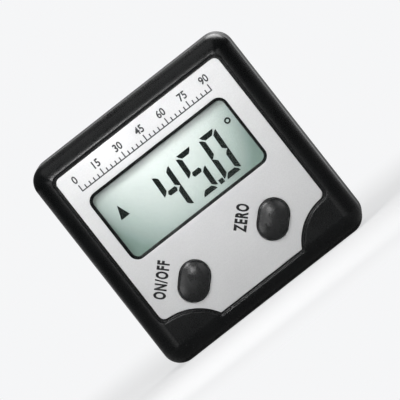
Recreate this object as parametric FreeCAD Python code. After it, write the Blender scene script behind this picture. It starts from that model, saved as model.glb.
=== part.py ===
"""Digital inclinometer: a square angle gauge with a magnetic base, a display and two push buttons.

Millimetres. X runs to the right as seen from the front, Y to the back, Z up. The origin is the centre of the
resting face. Each function returns one named piece, or one group of like pieces, of the assembly.
"""

import FreeCAD, Part
import math
import os

# Case, as the photograph shows it from the front
body_width = 50.8
body_height = 50.8
body_corner_radius = 4.0
front_crest_angle = 14.0
front_crest_radius = 0.45
rear_edge_radius = 1.0
seam_chamfer = 0.15
side_wall = 2.2
front_wall = 2.0
rear_wall = 2.2

# Fits: pressed or glued pieces, loose pieces, and how far a cut runs past its face
fit_gap = 0.02
loose_gap = 0.2
overrun = 0.5

# Face label and the recess that holds it
bezel_side = 4.2
bezel_top = 4.35
bezel_bottom = 3.95
bezel_crest_radius = 0.35
label_gap = 0.5
label_recess = 0.85
label_thickness = 0.25
label_corner_radius = 1.3
lobe_button_gap = 1.35
lobe_inset = 0.5
lobe_drop = 5.7

# Display window and lens
window_side_band = 3.45
window_header_band = 6.8
window_control_band = 18.8
window_corner_radius = 2.1
window_offset_x = -0.5
window_slope = 0.7
window_seat = 0.9
lens_thickness = 1.5
lens_margin = 1.2

# Liquid-crystal display and what carries it
display_gap = 0.2
polariser_thickness = 0.2
reflector_thickness = 0.25
polariser_margin = 0.6
glass_thickness = 1.1
glass_margin = 1.3
contact_ledge = 2.3
holder_wall = 1.4
holder_shelf = 1.2
holder_gap = 0.15
strip_height = 1.6

# Main board
board_thickness = 1.2
board_margin = 0.8
board_boss_clearance = 0.4
chip_radius = 3.0
chip_height = 1.2
crystal_radius = 1.0
crystal_length = 6.0
component_pitch = 1.9
capacitor_size = (2.0, 0.8, 1.25)
capacitor_count = 4
resistor_size = (1.6, 0.5, 0.8)
resistor_count = 6

# Push buttons and the switches behind them
button_width = 6.3
button_length = 8.6
button_angle = 45.0
button_side_inset = 10.825
button_offset_x = -0.575
button_rise = 8.55
button_proud = 1.6
button_crown_radius = 9.0
button_rim_radius = 0.5
button_flange = 0.8
button_flange_thickness = 0.7
button_stem_radius = 1.5
button_travel = 0.5
switch_size = 6.0
switch_height = 3.3
switch_plate_thickness = 0.3
switch_plate_lip = 0.1
switch_wall = 0.8
plunger_gap = 0.05
plunger_collar = 0.45
plunger_collar_thickness = 0.5
plunger_foot_radius = 0.8
plunger_margin = 0.15
dome_height = 0.9
dome_thickness = 0.1

# Screw bosses, pillars and screws
boss_radius = 2.7
boss_inset = 4.8
boss_screw_depth = 8.0
pillar_radius = 2.2
pillar_side_clearance = 2.7
pillar_upper_spacing = 22.0
screw_radius = 0.98
screw_head_radius = 1.9
screw_head_height = 1.2
screw_head_chamfer = 0.3
screw_head_depth = 0.3
screw_tip = 0.4
driver_slot = (0.45, 2.2, 0.7)

# Base magnets
magnet_radius = 4.0
magnet_height = 4.0
magnet_end_margin = 0.6
magnet_count = 4
magnet_wall = 1.2

# Pendulum sensor
disc_gap = 0.4
disc_leg_gap = 3.3
disc_thickness = 1.0
shaft_radius = 1.0
hub_flange_radius = 4.5
hub_flange_thickness = 1.5
hub_nose = 1.2
weight_inner_radius = 6.0
weight_rim = 0.4
weight_thickness = 5.0
weight_half_angle = 75.0
rivet_radius = 0.75
rivet_angles = (-50.0, 0.0, 50.0)
damper_gap = 0.5
damper_size = (5.0, 1.6, 5.0)
damper_spacing = 7.2
yoke_thickness = 0.8
yoke_margin = 0.7
frame_thickness = 2.0
frame_arm_width = 5.0
frame_hub_radius = 9.0
frame_tab_margin = 1.0

# Ball bearings and what holds them on the shaft
bearing_radius = 2.5
bearing_width = 2.5
bearing_inner_land = 1.45
bearing_outer_land = 2.1
ball_radius = 0.5
ball_count = 6
race_gap = 0.015
cage_width = 0.9
cage_thickness = 0.24
cage_pocket_gap = 0.05
carrier_wall = 1.1
carrier_flange = 2.0
carrier_flange_thickness = 1.3
clip_thickness = 0.4
clip_radius = 2.0
clip_groove_depth = 0.25
clip_slot = 1.2
shaft_tail = 0.6

# Battery, its well in the rear cover and its contacts
cell_radius = 10.0
cell_cap_step = 1.1
cell_height = 3.2
cell_step = 0.5
cell_gap = 0.3
cell_end_gap = 0.1
well_wall = 1.2
well_floor = 1.0
contact_thickness = 0.25
contact_width = 4.0
contact_lift = 0.6
contact_length = 8.0
contact_tail = 2.2
lead_radius = 0.5
lead_side_clearance = 3.2
lead_rise = 7.0
lead_turn_share = 0.45

# Battery cover with its bayonet
cover_margin = 1.9
cover_gap = 0.1
cover_thickness = 1.25
cover_recess = 0.1
gasket_thickness = 0.5
bayonet_ledge_width = 1.1
bayonet_ledge_thickness = 0.9
bayonet_lug_reach = 0.9
bayonet_lug_thickness = 1.0
bayonet_lug_count = 3
bayonet_lug_angle = 28.0
bayonet_turn = 40.0
bayonet_play_angle = 2.0
bayonet_play = 0.1
skirt_wall = 1.3
coin_slot = (15.0, 0.7, 1.8)

# Rear cover's tongues, which locate it in the housing
tongue_end_gap = 4.9
tongue_thickness = 1.2
tongue_depth = 1.5

# Depth: the stack from the bezel's crest to the rear face adds up to the case's depth
stack_clearance = 1.45
plunger_proud = button_travel + plunger_margin
switch_stack = switch_height + switch_plate_thickness + plunger_proud
button_stem = loose_gap
board_standoff = button_flange_thickness + button_stem + switch_stack
front_stack = label_recess + front_wall + board_standoff + board_thickness
damper_stack = weight_thickness + damper_gap + damper_size[1] + yoke_thickness
carrier_stack = damper_stack + frame_thickness + carrier_flange_thickness
pendulum_stack = disc_gap + disc_thickness + carrier_stack
shaft_stack = clip_thickness + shaft_tail
battery_stack = (
    well_floor + contact_lift + cell_height + cell_end_gap
    + bayonet_lug_thickness + bayonet_play + bayonet_ledge_thickness
    + gasket_thickness + cover_thickness + cover_recess
)
body_depth = front_stack + pendulum_stack + shaft_stack + stack_clearance + battery_stack

# Planes across the depth, front to back
front_y = -body_depth / 2
rear_y = body_depth / 2
seam_y = rear_y - rear_wall
recess_y = front_y + label_recess
label_y = recess_y - label_thickness
cavity_y = recess_y + front_wall
lens_y = recess_y + window_seat
display_y = lens_y + lens_thickness + display_gap
board_y = cavity_y + board_standoff
board_back_y = board_y + board_thickness
disc_y = board_back_y + disc_gap
disc_back_y = disc_y + disc_thickness
weight_back_y = disc_back_y + weight_thickness
bearing_y = disc_back_y + hub_flange_thickness + hub_nose
carrier_back_y = disc_back_y + carrier_stack
rear_bearing_y = carrier_back_y - bearing_width
shaft_end_y = carrier_back_y + shaft_stack
damper_y = weight_back_y + damper_gap
yoke_y = damper_y + damper_size[1]
frame_y = yoke_y + yoke_thickness
frame_back_y = frame_y + frame_thickness
well_y = shaft_end_y + stack_clearance
well_floor_y = well_y + well_floor
cell_y = well_floor_y + contact_lift
cell_back_y = cell_y + cell_height
lug_y = cell_back_y + cell_end_gap
lug_back_y = lug_y + bayonet_lug_thickness
ledge_y = lug_back_y + bayonet_play
ledge_back_y = ledge_y + bayonet_ledge_thickness
cover_y = ledge_back_y + gasket_thickness

# Places across the face
label_width = body_width - 2 * bezel_side
label_height = body_height - bezel_top - bezel_bottom
label_z = bezel_bottom + label_height / 2
lobe_x = label_width / 2 - lobe_inset
lobe_z = bezel_bottom - lobe_drop
window_width = label_width - 2 * window_side_band
window_height = label_height - window_header_band - window_control_band
window_z = bezel_bottom + window_control_band + window_height / 2
view_width = window_width - 2 * window_slope
view_height = window_height - 2 * window_slope
glass_width = view_width + 2 * glass_margin
glass_top_z = window_z + view_height / 2 + glass_margin
rear_glass_z = window_z - view_height / 2 - polariser_margin
front_glass_z = rear_glass_z - contact_ledge
holder_low_z = front_glass_z - holder_gap - holder_wall
holder_high_z = glass_top_z + holder_gap + holder_wall
holder_opening_low_z = rear_glass_z + holder_shelf
holder_opening_high_z = glass_top_z - holder_shelf
chip_z = (holder_opening_low_z + holder_opening_high_z) / 2
button_height = bezel_bottom + button_rise
button_places = [
    button_offset_x + side * (label_width / 2 - button_side_inset)
    for side in (-1, 1)
]
lobe_reach = math.hypot(lobe_x + button_places[0], button_height - lobe_z)
lobe_radius = lobe_reach - button_length / 2 - lobe_button_gap
switch_well_radius = switch_size / 2 - switch_wall
collar_radius = switch_well_radius - plunger_gap
plunger_radius = collar_radius - plunger_collar
switch_y = board_y - switch_height
plate_y = switch_y - switch_plate_thickness
plunger_y = plate_y - plunger_proud
cavity_half_width = body_width / 2 - side_wall
cavity_top_z = body_height - side_wall
board_low_z = side_wall + board_margin
board_high_z = cavity_top_z - board_margin
boss_places = [
    (side * (body_width / 2 - boss_inset), z)
    for side in (-1, 1)
    for z in (boss_inset, body_height - boss_inset)
]
pillar_lower_x = cavity_half_width - pillar_side_clearance - pillar_radius
pillar_lower_z = holder_low_z - loose_gap - pillar_radius
pillar_upper_z = (holder_high_z + cavity_top_z) / 2
pillar_places = [(side * pillar_lower_x, pillar_lower_z) for side in (-1, 1)] + [
    (side * pillar_upper_spacing / 2, pillar_upper_z) for side in (-1, 1)
]
axis_z = body_height / 2
disc_radius = math.hypot(pillar_lower_x, axis_z - pillar_lower_z) - pillar_radius - disc_leg_gap
weight_outer_radius = disc_radius - weight_rim
weight_middle_radius = (weight_inner_radius + weight_outer_radius) / 2
magnet_row_length = body_width - 2 * (body_corner_radius + magnet_end_margin + magnet_radius)
magnet_boss_z = magnet_height + fit_gap + magnet_wall
ball_circle_radius = (bearing_inner_land + bearing_outer_land) / 2
bearing_bore = shaft_radius + fit_gap
cover_radius = cell_radius + cover_margin
ledge_radius = cover_radius - bayonet_ledge_width
groove_radius = ledge_radius + bayonet_lug_reach + cover_gap
skirt_radius = ledge_radius - cover_gap
well_radius = cell_radius + cell_gap
tail_x = cell_radius + cell_gap + contact_thickness
lead_x = cavity_half_width - lead_side_clearance

# Directions
along_x = FreeCAD.Vector(1, 0, 0)
along_y = FreeCAD.Vector(0, 1, 0)
along_z = FreeCAD.Vector(0, 0, 1)


def at(x, y, z):
    """A point."""
    return FreeCAD.Vector(x, y, z)


def block(low, high):
    """A box between two opposite corners."""
    size = high - low
    return Part.makeBox(size.x, size.y, size.z, low)


def rod(radius, y_from, y_to, x, z):
    """A cylinder along Y."""
    return Part.makeCylinder(radius, y_to - y_from, at(x, y_from, z), along_y)


def tube(outer, inner, y_from, y_to, x, z):
    """A tube along Y."""
    return rod(outer, y_from, y_to, x, z).cut(rod(inner, y_from - overrun, y_to + overrun, x, z))


def fuse_all(shapes):
    """The union of several shapes, with no seam left between flush faces."""
    whole = shapes[0]
    for shape in shapes[1:]:
        whole = whole.fuse(shape)
    return whole.removeSplitter()


def cut_all(shape, tools):
    """A shape with several others taken away."""
    for tool in tools:
        shape = shape.cut(tool)
    return shape


def rounded_rectangle(width, height, radius, x, z, y):
    """A closed outline in the plane at y, with round corners."""
    half_width = width / 2
    half_height = height / 2
    bend = radius * (1 - math.cos(math.pi / 4))
    edges = []
    for turn in range(4):
        angle = math.radians(90 * turn)
        across, up = (half_width, half_height) if turn % 2 == 0 else (half_height, half_width)
        local = [
            (across, radius - up),
            (across, up - radius),
            (across - bend, up - bend),
            (across - radius, up),
        ]
        points = [
            at(
                x + u * math.cos(angle) - v * math.sin(angle),
                y,
                z + u * math.sin(angle) + v * math.cos(angle),
            )
            for u, v in local
        ]
        edges.append(Part.LineSegment(points[0], points[1]).toShape())
        edges.append(Part.Arc(points[1], points[2], points[3]).toShape())
    return Part.Wire(Part.__sortEdges__(edges))


def obround(width, length, angle, x, z, y):
    """A closed outline in the plane at y, with two straight sides at an angle to X and round ends."""
    turn = math.radians(angle)
    along = at(math.cos(turn), 0, math.sin(turn))
    across = at(-math.sin(turn), 0, math.cos(turn))
    middle = at(x, y, z)
    run = (length - width) / 2
    half = width / 2
    signs = ((-1, -1), (1, -1), (1, 1), (-1, 1))
    corners = [middle + along * (u * run) + across * (v * half) for u, v in signs]
    ends = [middle + along * (side * length / 2) for side in (1, -1)]
    edges = [
        Part.LineSegment(corners[0], corners[1]).toShape(),
        Part.Arc(corners[1], ends[0], corners[2]).toShape(),
        Part.LineSegment(corners[2], corners[3]).toShape(),
        Part.Arc(corners[3], ends[1], corners[0]).toShape(),
    ]
    return Part.Wire(edges)


def prism(outline, y_from, y_to):
    """An outline in the plane at y_from, drawn out to y_to."""
    return Part.Face(outline).extrude(at(0, y_to - y_from, 0))


def rounded_slab(width, height, radius, x, z, y_from, y_to):
    """A plate across Y with round corners."""
    return prism(rounded_rectangle(width, height, radius, x, z, y_from), y_from, y_to)


def obround_slab(grow, x, y_from, y_to):
    """A plate with a button's outline, grown all round."""
    width = button_width + 2 * grow
    length = button_length + 2 * grow
    outline = obround(width, length, button_angle, x, button_height, y_from)
    return prism(outline, y_from, y_to)


def edges_where(shape, test):
    """The edges of a shape whose bounding box passes a test."""
    return [edge for edge in shape.Edges if test(edge.BoundBox)]


def lies_on_plane(box, y):
    """Whether a bounding box lies in the plane at y."""
    return max(abs(box.YMin - y), abs(box.YMax - y)) < fit_gap


def polar(radius, angle, y):
    """A point round the pendulum's axis. The angle is in degrees from straight up, towards +X."""
    turn = math.radians(angle)
    return at(radius * math.sin(turn), y, axis_z + radius * math.cos(turn))


def sector(outer, inner, middle_angle, half_angle, y_from, y_to):
    """Part of a ring round the pendulum's axis."""
    angles = [middle_angle + side * half_angle for side in (-1, 0, 1)]
    outside = [polar(outer, angle, y_from) for angle in angles]
    inside = [polar(inner, angle, y_from) for angle in reversed(angles)]
    edges = [
        Part.Arc(*outside).toShape(),
        Part.LineSegment(outside[-1], inside[0]).toShape(),
        Part.Arc(*inside).toShape(),
        Part.LineSegment(inside[-1], outside[0]).toShape(),
    ]
    return prism(Part.Wire(edges), y_from, y_to)


def face_plate(grow, y_from, y_to):
    """The label's outline as a plate, grown all round: a square with a lobe cut out at each lower corner."""
    plate = rounded_slab(
        label_width + 2 * grow,
        label_height + 2 * grow,
        label_corner_radius + grow,
        0,
        label_z,
        y_from,
        y_to,
    )
    for side in (-1, 1):
        plate = plate.cut(rod(lobe_radius - grow, y_from - overrun, y_to + overrun, side * lobe_x, lobe_z))
    side_x = label_width / 2 + grow
    corners = edges_where(
        plate,
        lambda box: abs(box.YLength - (y_to - y_from)) < fit_gap
        and min(abs(box.XMin - side_x), abs(box.XMax + side_x)) < fit_gap
        and box.ZMax < label_z,
    )
    return plate.makeFillet(label_corner_radius, corners)


def screw(x, z, head_y, tip_y):
    """A cross-head screw driven towards -Y, its head's seat at head_y."""
    top = head_y + screw_head_height
    head = rod(screw_head_radius, head_y, top, x, z)
    head = head.makeChamfer(screw_head_chamfer, edges_where(head, lambda box: lies_on_plane(box, top)))
    slot_width, slot_length, slot_depth = driver_slot
    arms = [
        block(at(x - a / 2, top - slot_depth, z - b / 2), at(x + a / 2, top + overrun, z + b / 2))
        for a, b in ((slot_width, slot_length), (slot_length, slot_width))
    ]
    tip = Part.makeCone(
        screw_radius - screw_tip, screw_radius, screw_tip, at(x, tip_y, z), along_y
    )
    return fuse_all([cut_all(head, arms), rod(screw_radius, tip_y + screw_tip, head_y, x, z), tip])


def front_housing():
    """The moulded shell: front wall with the bezel, four side walls, bosses, pillars and magnet pockets."""
    shell = rounded_slab(body_width, body_height, body_corner_radius, 0, axis_z, front_y, seam_y)
    shell = shell.makeChamfer(seam_chamfer, edges_where(shell, lambda box: lies_on_plane(box, seam_y)))
    recess = face_plate(label_gap, front_y - overrun, recess_y)
    shell = shell.cut(edge_rounding()).cut(recess)
    shell = shell.makeFillet(bezel_crest_radius, [edge for edge in shell.Edges if is_crest(edge, recess)])
    shell = shell.cut(
        rounded_slab(
            body_width - 2 * side_wall,
            body_height - 2 * side_wall,
            body_corner_radius - side_wall,
            0,
            axis_z,
            cavity_y,
            seam_y + overrun,
        )
    )
    bosses = [rod(boss_radius, cavity_y - overrun, seam_y, x, z) for x, z in boss_places]
    pillars = [rod(pillar_radius, cavity_y - overrun, board_y, x, z) for x, z in pillar_places]
    shell = fuse_all([shell] + bosses + pillars + magnet_bosses())
    return cut_all(shell, housing_holes())


def rounding_section():
    """What the front's rounding takes off one side, as a section at X from the outside in.

    A long arc rises from the side wall to the slope beside the crest, and a short one eases it into the flat.
    """
    slope = math.radians(front_crest_angle)
    width = body_corner_radius - fit_gap
    radius = (width - front_crest_radius * math.sin(slope)) / (1 - math.sin(slope))
    crest = at(width, front_y + front_crest_radius, 0)
    side_middle = crest + at(math.sin(slope), math.cos(slope), 0) * (radius - front_crest_radius)
    edges = []
    for middle, reach, start, stop in (
        (side_middle, radius, math.pi / 2, slope),
        (crest, front_crest_radius, slope, 0),
    ):
        angles = (start, (start + stop) / 2, stop)
        points = [middle - at(math.sin(angle), math.cos(angle), 0) * reach for angle in angles]
        edges.append(Part.Arc(*points).toShape())
    corners = [
        at(width, front_y, 0),
        at(width, front_y - overrun, 0),
        at(-overrun, front_y - overrun, 0),
        at(-overrun, side_middle.y, 0),
        at(0, side_middle.y, 0),
    ]
    edges += [Part.LineSegment(start, end).toShape() for start, end in zip(corners, corners[1:])]
    return Part.Face(Part.Wire(edges))


def edge_rounding():
    """What the rounding takes off all round the front: a run along each side and a turn at each corner."""
    section = rounding_section()
    tools = []
    for turn in range(4):
        across, along = (body_width, body_height) if turn % 2 == 0 else (body_height, body_width)
        run = along / 2 - body_corner_radius
        side = section.copy()
        side.translate(at(-across / 2, 0, -run))
        corner = side.revolve(at(body_corner_radius - across / 2, 0, -run), along_y, -90)
        for tool in (side.extrude(at(0, 0, 2 * run)), corner):
            tool.rotate(at(0, 0, 0), along_y, 90 * turn)
            tool.translate(at(0, 0, axis_z))
            tools.append(tool)
    return fuse_all(tools)


def is_crest(edge, recess):
    """Whether an edge runs along the top of the label recess's wall."""
    box = edge.BoundBox
    middle = edge.valueAt((edge.FirstParameter + edge.LastParameter) / 2)
    beside = recess.distToShape(Part.Vertex(middle))[0] < fit_gap
    return beside and box.YMax < recess_y - bezel_crest_radius and box.YLength < bezel_crest_radius


def magnet_places():
    """Where the base magnets stand, along X."""
    return [magnet_row_length * (step / (magnet_count - 1) - 1 / 2) for step in range(magnet_count)]


def magnet_bosses():
    """The round bosses on the bottom wall that the base magnets are glued in."""
    low_z = side_wall - overrun
    rise = magnet_boss_z - low_z
    radius = magnet_radius + fit_gap + magnet_wall
    return [Part.makeCylinder(radius, rise, at(x, 0, low_z), along_z) for x in magnet_places()]


def housing_holes():
    """What is cut from the housing: window, lens rebate, button holes, pilot holes and magnet pockets."""
    slope_radius = window_corner_radius - window_slope
    place = (window_offset_x, window_z)
    # The sloping wall runs from the label's window down to what can be seen of the display.
    slope_mouth = rounded_rectangle(window_width, window_height, window_corner_radius, *place, recess_y)
    slope_foot = rounded_rectangle(view_width, view_height, slope_radius, *place, lens_y)
    slope = Part.makeLoft([slope_mouth, slope_foot], True, True)
    rebate = rounded_slab(
        view_width + 2 * (lens_margin + fit_gap),
        view_height + 2 * (lens_margin + fit_gap),
        slope_radius,
        *place,
        lens_y,
        cavity_y + overrun,
    )
    buttons = [obround_slab(loose_gap, x, recess_y - overrun, cavity_y + overrun) for x in button_places]
    pilot = screw_radius + fit_gap
    boss_pilots = [rod(pilot, seam_y - boss_screw_depth, seam_y + overrun, x, z) for x, z in boss_places]
    pillar_pilots = [rod(pilot, cavity_y, board_y + overrun, x, z) for x, z in pillar_places]
    rise = magnet_boss_z - magnet_wall + overrun
    pocket_radius = magnet_radius + fit_gap
    pockets = [Part.makeCylinder(pocket_radius, rise, at(x, 0, -overrun), along_z) for x in magnet_places()]
    return [slope, rebate] + buttons + boss_pilots + pillar_pilots + pockets


def face_label():
    """The silver foil on the front, with its window and button holes."""
    foil = face_plate(0, label_y, recess_y)
    window = rounded_slab(
        window_width,
        window_height,
        window_corner_radius,
        window_offset_x,
        window_z,
        label_y - overrun,
        recess_y + overrun,
    )
    buttons = [obround_slab(loose_gap, x, label_y - overrun, recess_y + overrun) for x in button_places]
    return cut_all(foil, [window] + buttons)


def display_window():
    """The clear lens, glued into its rebate from behind."""
    return rounded_slab(
        view_width + 2 * lens_margin,
        view_height + 2 * lens_margin,
        window_corner_radius - window_slope,
        window_offset_x,
        window_z,
        lens_y,
        lens_y + lens_thickness,
    )


def display_layer(low_z, high_z, margin, y_from, y_to):
    """One flat layer of the display, narrower than the glass by a margin at each end."""
    half = glass_width / 2 - margin
    return block(at(window_offset_x - half, y_from, low_z), at(window_offset_x + half, y_to, high_z))


def display_planes():
    """The planes between the display's layers, front to back."""
    planes = [display_y]
    for thickness in (polariser_thickness, glass_thickness, glass_thickness, reflector_thickness):
        planes.append(planes[-1] + thickness)
    return planes


def display_front_polariser():
    """The film on the display's front glass."""
    planes = display_planes()
    return display_layer(rear_glass_z, glass_top_z - polariser_margin, polariser_margin, planes[0], planes[1])


def display_front_glass():
    """The front glass, whose lower ledge carries the contacts."""
    planes = display_planes()
    return display_layer(front_glass_z, glass_top_z, 0, planes[1], planes[2])


def display_rear_glass():
    """The rear glass, which stops short of the contact ledge."""
    planes = display_planes()
    return display_layer(rear_glass_z, glass_top_z, 0, planes[2], planes[3])


def display_reflector():
    """The rear polariser with its reflecting back."""
    planes = display_planes()
    margin = polariser_margin
    return display_layer(rear_glass_z + margin, glass_top_z - margin, margin, planes[3], planes[4])


def display_holder():
    """The moulded frame that stands on the board and holds the display and its contact strip."""
    planes = display_planes()
    half = glass_width / 2 + holder_gap
    outer = half + holder_wall
    x = window_offset_x
    frame = block(at(x - outer, planes[1], holder_low_z), at(x + outer, board_y, holder_high_z))
    pocket = block(
        at(x - half, planes[1] - overrun, front_glass_z - holder_gap),
        at(x + half, planes[4], glass_top_z + holder_gap),
    )
    back = half - holder_gap - holder_shelf
    opening = block(
        at(x - back, planes[1], holder_opening_low_z),
        at(x + back, board_y + overrun, holder_opening_high_z),
    )
    strip = block(
        at(x - half, planes[1], front_glass_z - holder_gap),
        at(x + half, board_y + overrun, front_glass_z + strip_height + holder_gap),
    )
    return cut_all(frame, [pocket, opening, strip])


def contact_strip():
    """The striped rubber strip between the front glass's ledge and the board."""
    planes = display_planes()
    return display_layer(front_glass_z, front_glass_z + strip_height, 0, planes[2], board_y)


def main_board():
    """The circuit board, notched round the corner bosses and drilled for the long screws."""
    board = block(
        at(board_margin - cavity_half_width, board_y, board_low_z),
        at(cavity_half_width - board_margin, board_back_y, board_high_z),
    )
    notch = boss_radius + board_boss_clearance
    notches = [rod(notch, board_y - overrun, board_back_y + overrun, x, z) for x, z in boss_places]
    corners = [corner_square(x, z, notch) for x, z in boss_places]
    hole = screw_radius + loose_gap
    holes = [rod(hole, board_y - overrun, board_back_y + overrun, x, z) for x, z in pillar_places]
    return cut_all(board, notches + corners + holes)


def corner_square(x, z, reach):
    """What the board leaves out between a corner boss and the housing's corner."""
    out_x = math.copysign(cavity_half_width, x)
    out_z = 0 if z < axis_z else body_height
    low = at(min(x, out_x), board_y - overrun, min(z, out_z))
    high = at(max(x, out_x), board_back_y + overrun, max(z, out_z))
    widened = at(reach, 0, 0) if x < 0 else at(0, 0, 0)
    narrowed = at(0, 0, 0) if x < 0 else at(reach, 0, 0)
    wide = block(low - narrowed, high + widened)
    raised = at(0, 0, reach) if z < axis_z else at(0, 0, 0)
    lowered = at(0, 0, 0) if z < axis_z else at(0, 0, reach)
    tall = block(low - lowered, high + raised)
    return wide.fuse(tall)


def processor_cap():
    """The low dome of black epoxy over the chip, behind the display."""
    sphere_radius = (chip_radius ** 2 + chip_height ** 2) / (2 * chip_height)
    front = board_y - chip_height
    ball = Part.makeSphere(sphere_radius, at(window_offset_x, front + sphere_radius, chip_z))
    return ball.common(rod(chip_radius, front, board_y, window_offset_x, chip_z))


def board_components():
    """The watch crystal between the switches, and the row of capacitors and resistors above it."""
    crystal_low = at(button_offset_x, board_y - crystal_radius, button_height - crystal_length / 2)
    parts = [Part.makeCylinder(crystal_radius, crystal_length, crystal_low, along_z)]
    row_z = (button_height + switch_size / 2 + holder_low_z) / 2
    sizes = [capacitor_size] * capacitor_count + [resistor_size] * resistor_count
    for step, (length, height, width) in enumerate(sizes):
        x = button_offset_x + (step - (len(sizes) - 1) / 2) * component_pitch
        corner = at(x - width / 2, board_y - height, row_z - length / 2)
        parts.append(block(corner, corner + at(width, height, length)))
    return Part.makeCompound(parts)


def crown_section():
    """Half of a button's section: from the crown's middle over the rim and down the side."""
    half = button_width / 2
    front = label_y - button_proud
    middle_y = front + button_crown_radius
    rim_x = half - button_rim_radius
    reach = button_crown_radius - button_rim_radius
    rim_y = middle_y - math.sqrt(reach ** 2 - rim_x ** 2)
    crown_angle = math.asin(rim_x / reach)
    rim_angle = (crown_angle + math.pi / 2) / 2
    arcs = [
        (0, button_crown_radius, middle_y, crown_angle / 2, crown_angle, 0),
        (rim_x, button_rim_radius, rim_y, rim_angle, math.pi / 2, crown_angle),
    ]
    edges = []
    for u, radius, y, through, stop, start in arcs:
        points = [at(u + radius * math.sin(a), y - radius * math.cos(a), 0) for a in (start, through, stop)]
        edges.append(Part.Arc(*points).toShape())
    edges.append(Part.LineSegment(at(half, rim_y, 0), at(half, cavity_y, 0)).toShape())
    edges.append(Part.LineSegment(at(half, cavity_y, 0), at(0, cavity_y, 0)).toShape())
    edges.append(Part.LineSegment(at(0, cavity_y, 0), at(0, front, 0)).toShape())
    return Part.Face(Part.Wire(edges))


def button_end(z):
    """A round end of the cap's head: a post capped by a large ball, with its rim rounded."""
    front = label_y - button_proud
    ball = Part.makeSphere(button_crown_radius, at(0, front + button_crown_radius, z), along_x)
    end = rod(button_width / 2, front - overrun, cavity_y, 0, z).common(ball)
    rim = edges_where(end, lambda box: box.YLength < fit_gap and box.YMax < cavity_y - fit_gap)
    return end.makeFillet(button_rim_radius, rim)


def button_crown(x):
    """The cap's head: the section drawn along the button's length, with a round end at each side."""
    run = (button_length - button_width) / 2
    section = crown_section()
    side = section.copy()
    side.translate(at(0, 0, -run))
    side = side.extrude(at(0, 0, 2 * run))
    other = side.copy()
    other.rotate(at(0, 0, 0), along_y, 180)
    crown = fuse_all([side, other] + [button_end(shift) for shift in (-run, run)])
    crown.rotate(at(0, 0, 0), along_y, 90 - button_angle)
    crown.translate(at(x, 0, button_height))
    return crown


def button_cap(x):
    """A button: its crowned head, a flange behind the front wall and a stem that meets the switch."""
    flange = obround_slab(button_flange, x, cavity_y, cavity_y + button_flange_thickness)
    stem = rod(button_stem_radius, cavity_y, plunger_y, x, button_height)
    return fuse_all([button_crown(x), flange, stem])


def switch_base(x):
    """The moulded base of a tact switch, with the round well that the dome and plunger work in."""
    half = switch_size / 2
    body = block(at(x - half, switch_y, button_height - half), at(x + half, board_y, button_height + half))
    return body.cut(rod(switch_well_radius, switch_y - overrun, board_y - switch_wall, x, button_height))


def switch_plate(x):
    """The stamped plate that closes a tact switch, with the plunger's hole."""
    half = switch_size / 2 + switch_plate_lip
    plate = block(at(x - half, plate_y, button_height - half), at(x + half, switch_y, button_height + half))
    return plate.cut(rod(plunger_radius + loose_gap, plate_y - overrun, switch_y + overrun, x, button_height))


def switch_dome(x):
    """The domed steel disc that snaps through and returns the plunger."""
    base_radius = switch_well_radius - fit_gap
    floor_y = board_y - switch_wall
    outer = (base_radius ** 2 + dome_height ** 2) / (2 * dome_height)
    middle = at(x, floor_y - dome_height + outer, button_height)
    shell = Part.makeSphere(outer, middle).cut(Part.makeSphere(outer - dome_thickness, middle))
    return shell.common(rod(base_radius, floor_y - dome_height, floor_y, x, button_height))


def switch_plunger(x):
    """The plunger: a button that the stem pushes, a collar under the plate and a foot on the dome."""
    collar_y = switch_y + fit_gap
    foot_y = collar_y + plunger_collar_thickness
    dome_y = board_y - switch_wall - dome_height
    return fuse_all(
        [
            rod(plunger_radius, plunger_y, collar_y, x, button_height),
            rod(collar_radius, collar_y, foot_y, x, button_height),
            rod(plunger_foot_radius, foot_y, dome_y, x, button_height),
        ]
    )


def base_magnets():
    """The round magnets in a row, flush with the resting face."""
    starts = [at(x, 0, 0) for x in magnet_places()]
    magnets = [Part.makeCylinder(magnet_radius, magnet_height, start, along_z) for start in starts]
    return Part.makeCompound(magnets)


def arm(x, z, y_from, y_to):
    """A straight arm of the sensor frame, from the axis to a leg."""
    length = math.hypot(x, z - axis_z)
    half = frame_arm_width / 2
    bar = block(at(0, y_from, -half), at(length, y_to, half))
    bar.rotate(at(0, 0, 0), along_y, -math.degrees(math.atan2(z - axis_z, x)))
    bar.translate(at(0, 0, axis_z))
    return bar


def sensor_frame():
    """The frame behind the pendulum: a hub, arms with legs down to the board, and a tab for the damper."""
    hub = rod(frame_hub_radius, frame_y, frame_back_y, 0, axis_z)
    arms = [arm(x, z, frame_y, frame_back_y) for x, z in pillar_places]
    ends = [rod(frame_arm_width / 2, frame_y, frame_back_y, x, z) for x, z in pillar_places]
    legs = [rod(pillar_radius, board_back_y, frame_y, x, z) for x, z in pillar_places]
    half = yoke_half_width() + frame_tab_margin
    tab_low_z = axis_z - weight_middle_radius - damper_size[2] / 2 - yoke_margin
    tab = block(at(-half, frame_y, tab_low_z), at(half, frame_back_y, axis_z))
    frame = fuse_all([hub, tab] + arms + ends + legs)
    bore = rod(carrier_radius() + fit_gap, frame_y - overrun, frame_back_y + overrun, 0, axis_z)
    hole = screw_radius + loose_gap
    holes = [rod(hole, board_back_y - overrun, frame_back_y + overrun, x, z) for x, z in pillar_places]
    return cut_all(frame, [bore] + holes)


def sensor_screws():
    """The long screws through the frame's legs and the board into the housing's pillars."""
    tip_y = cavity_y + fit_gap
    return Part.makeCompound([screw(x, z, frame_back_y, tip_y) for x, z in pillar_places])


def yoke_half_width():
    """Half the width of the damper's yoke."""
    return (damper_spacing + damper_size[0]) / 2 + yoke_margin


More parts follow.
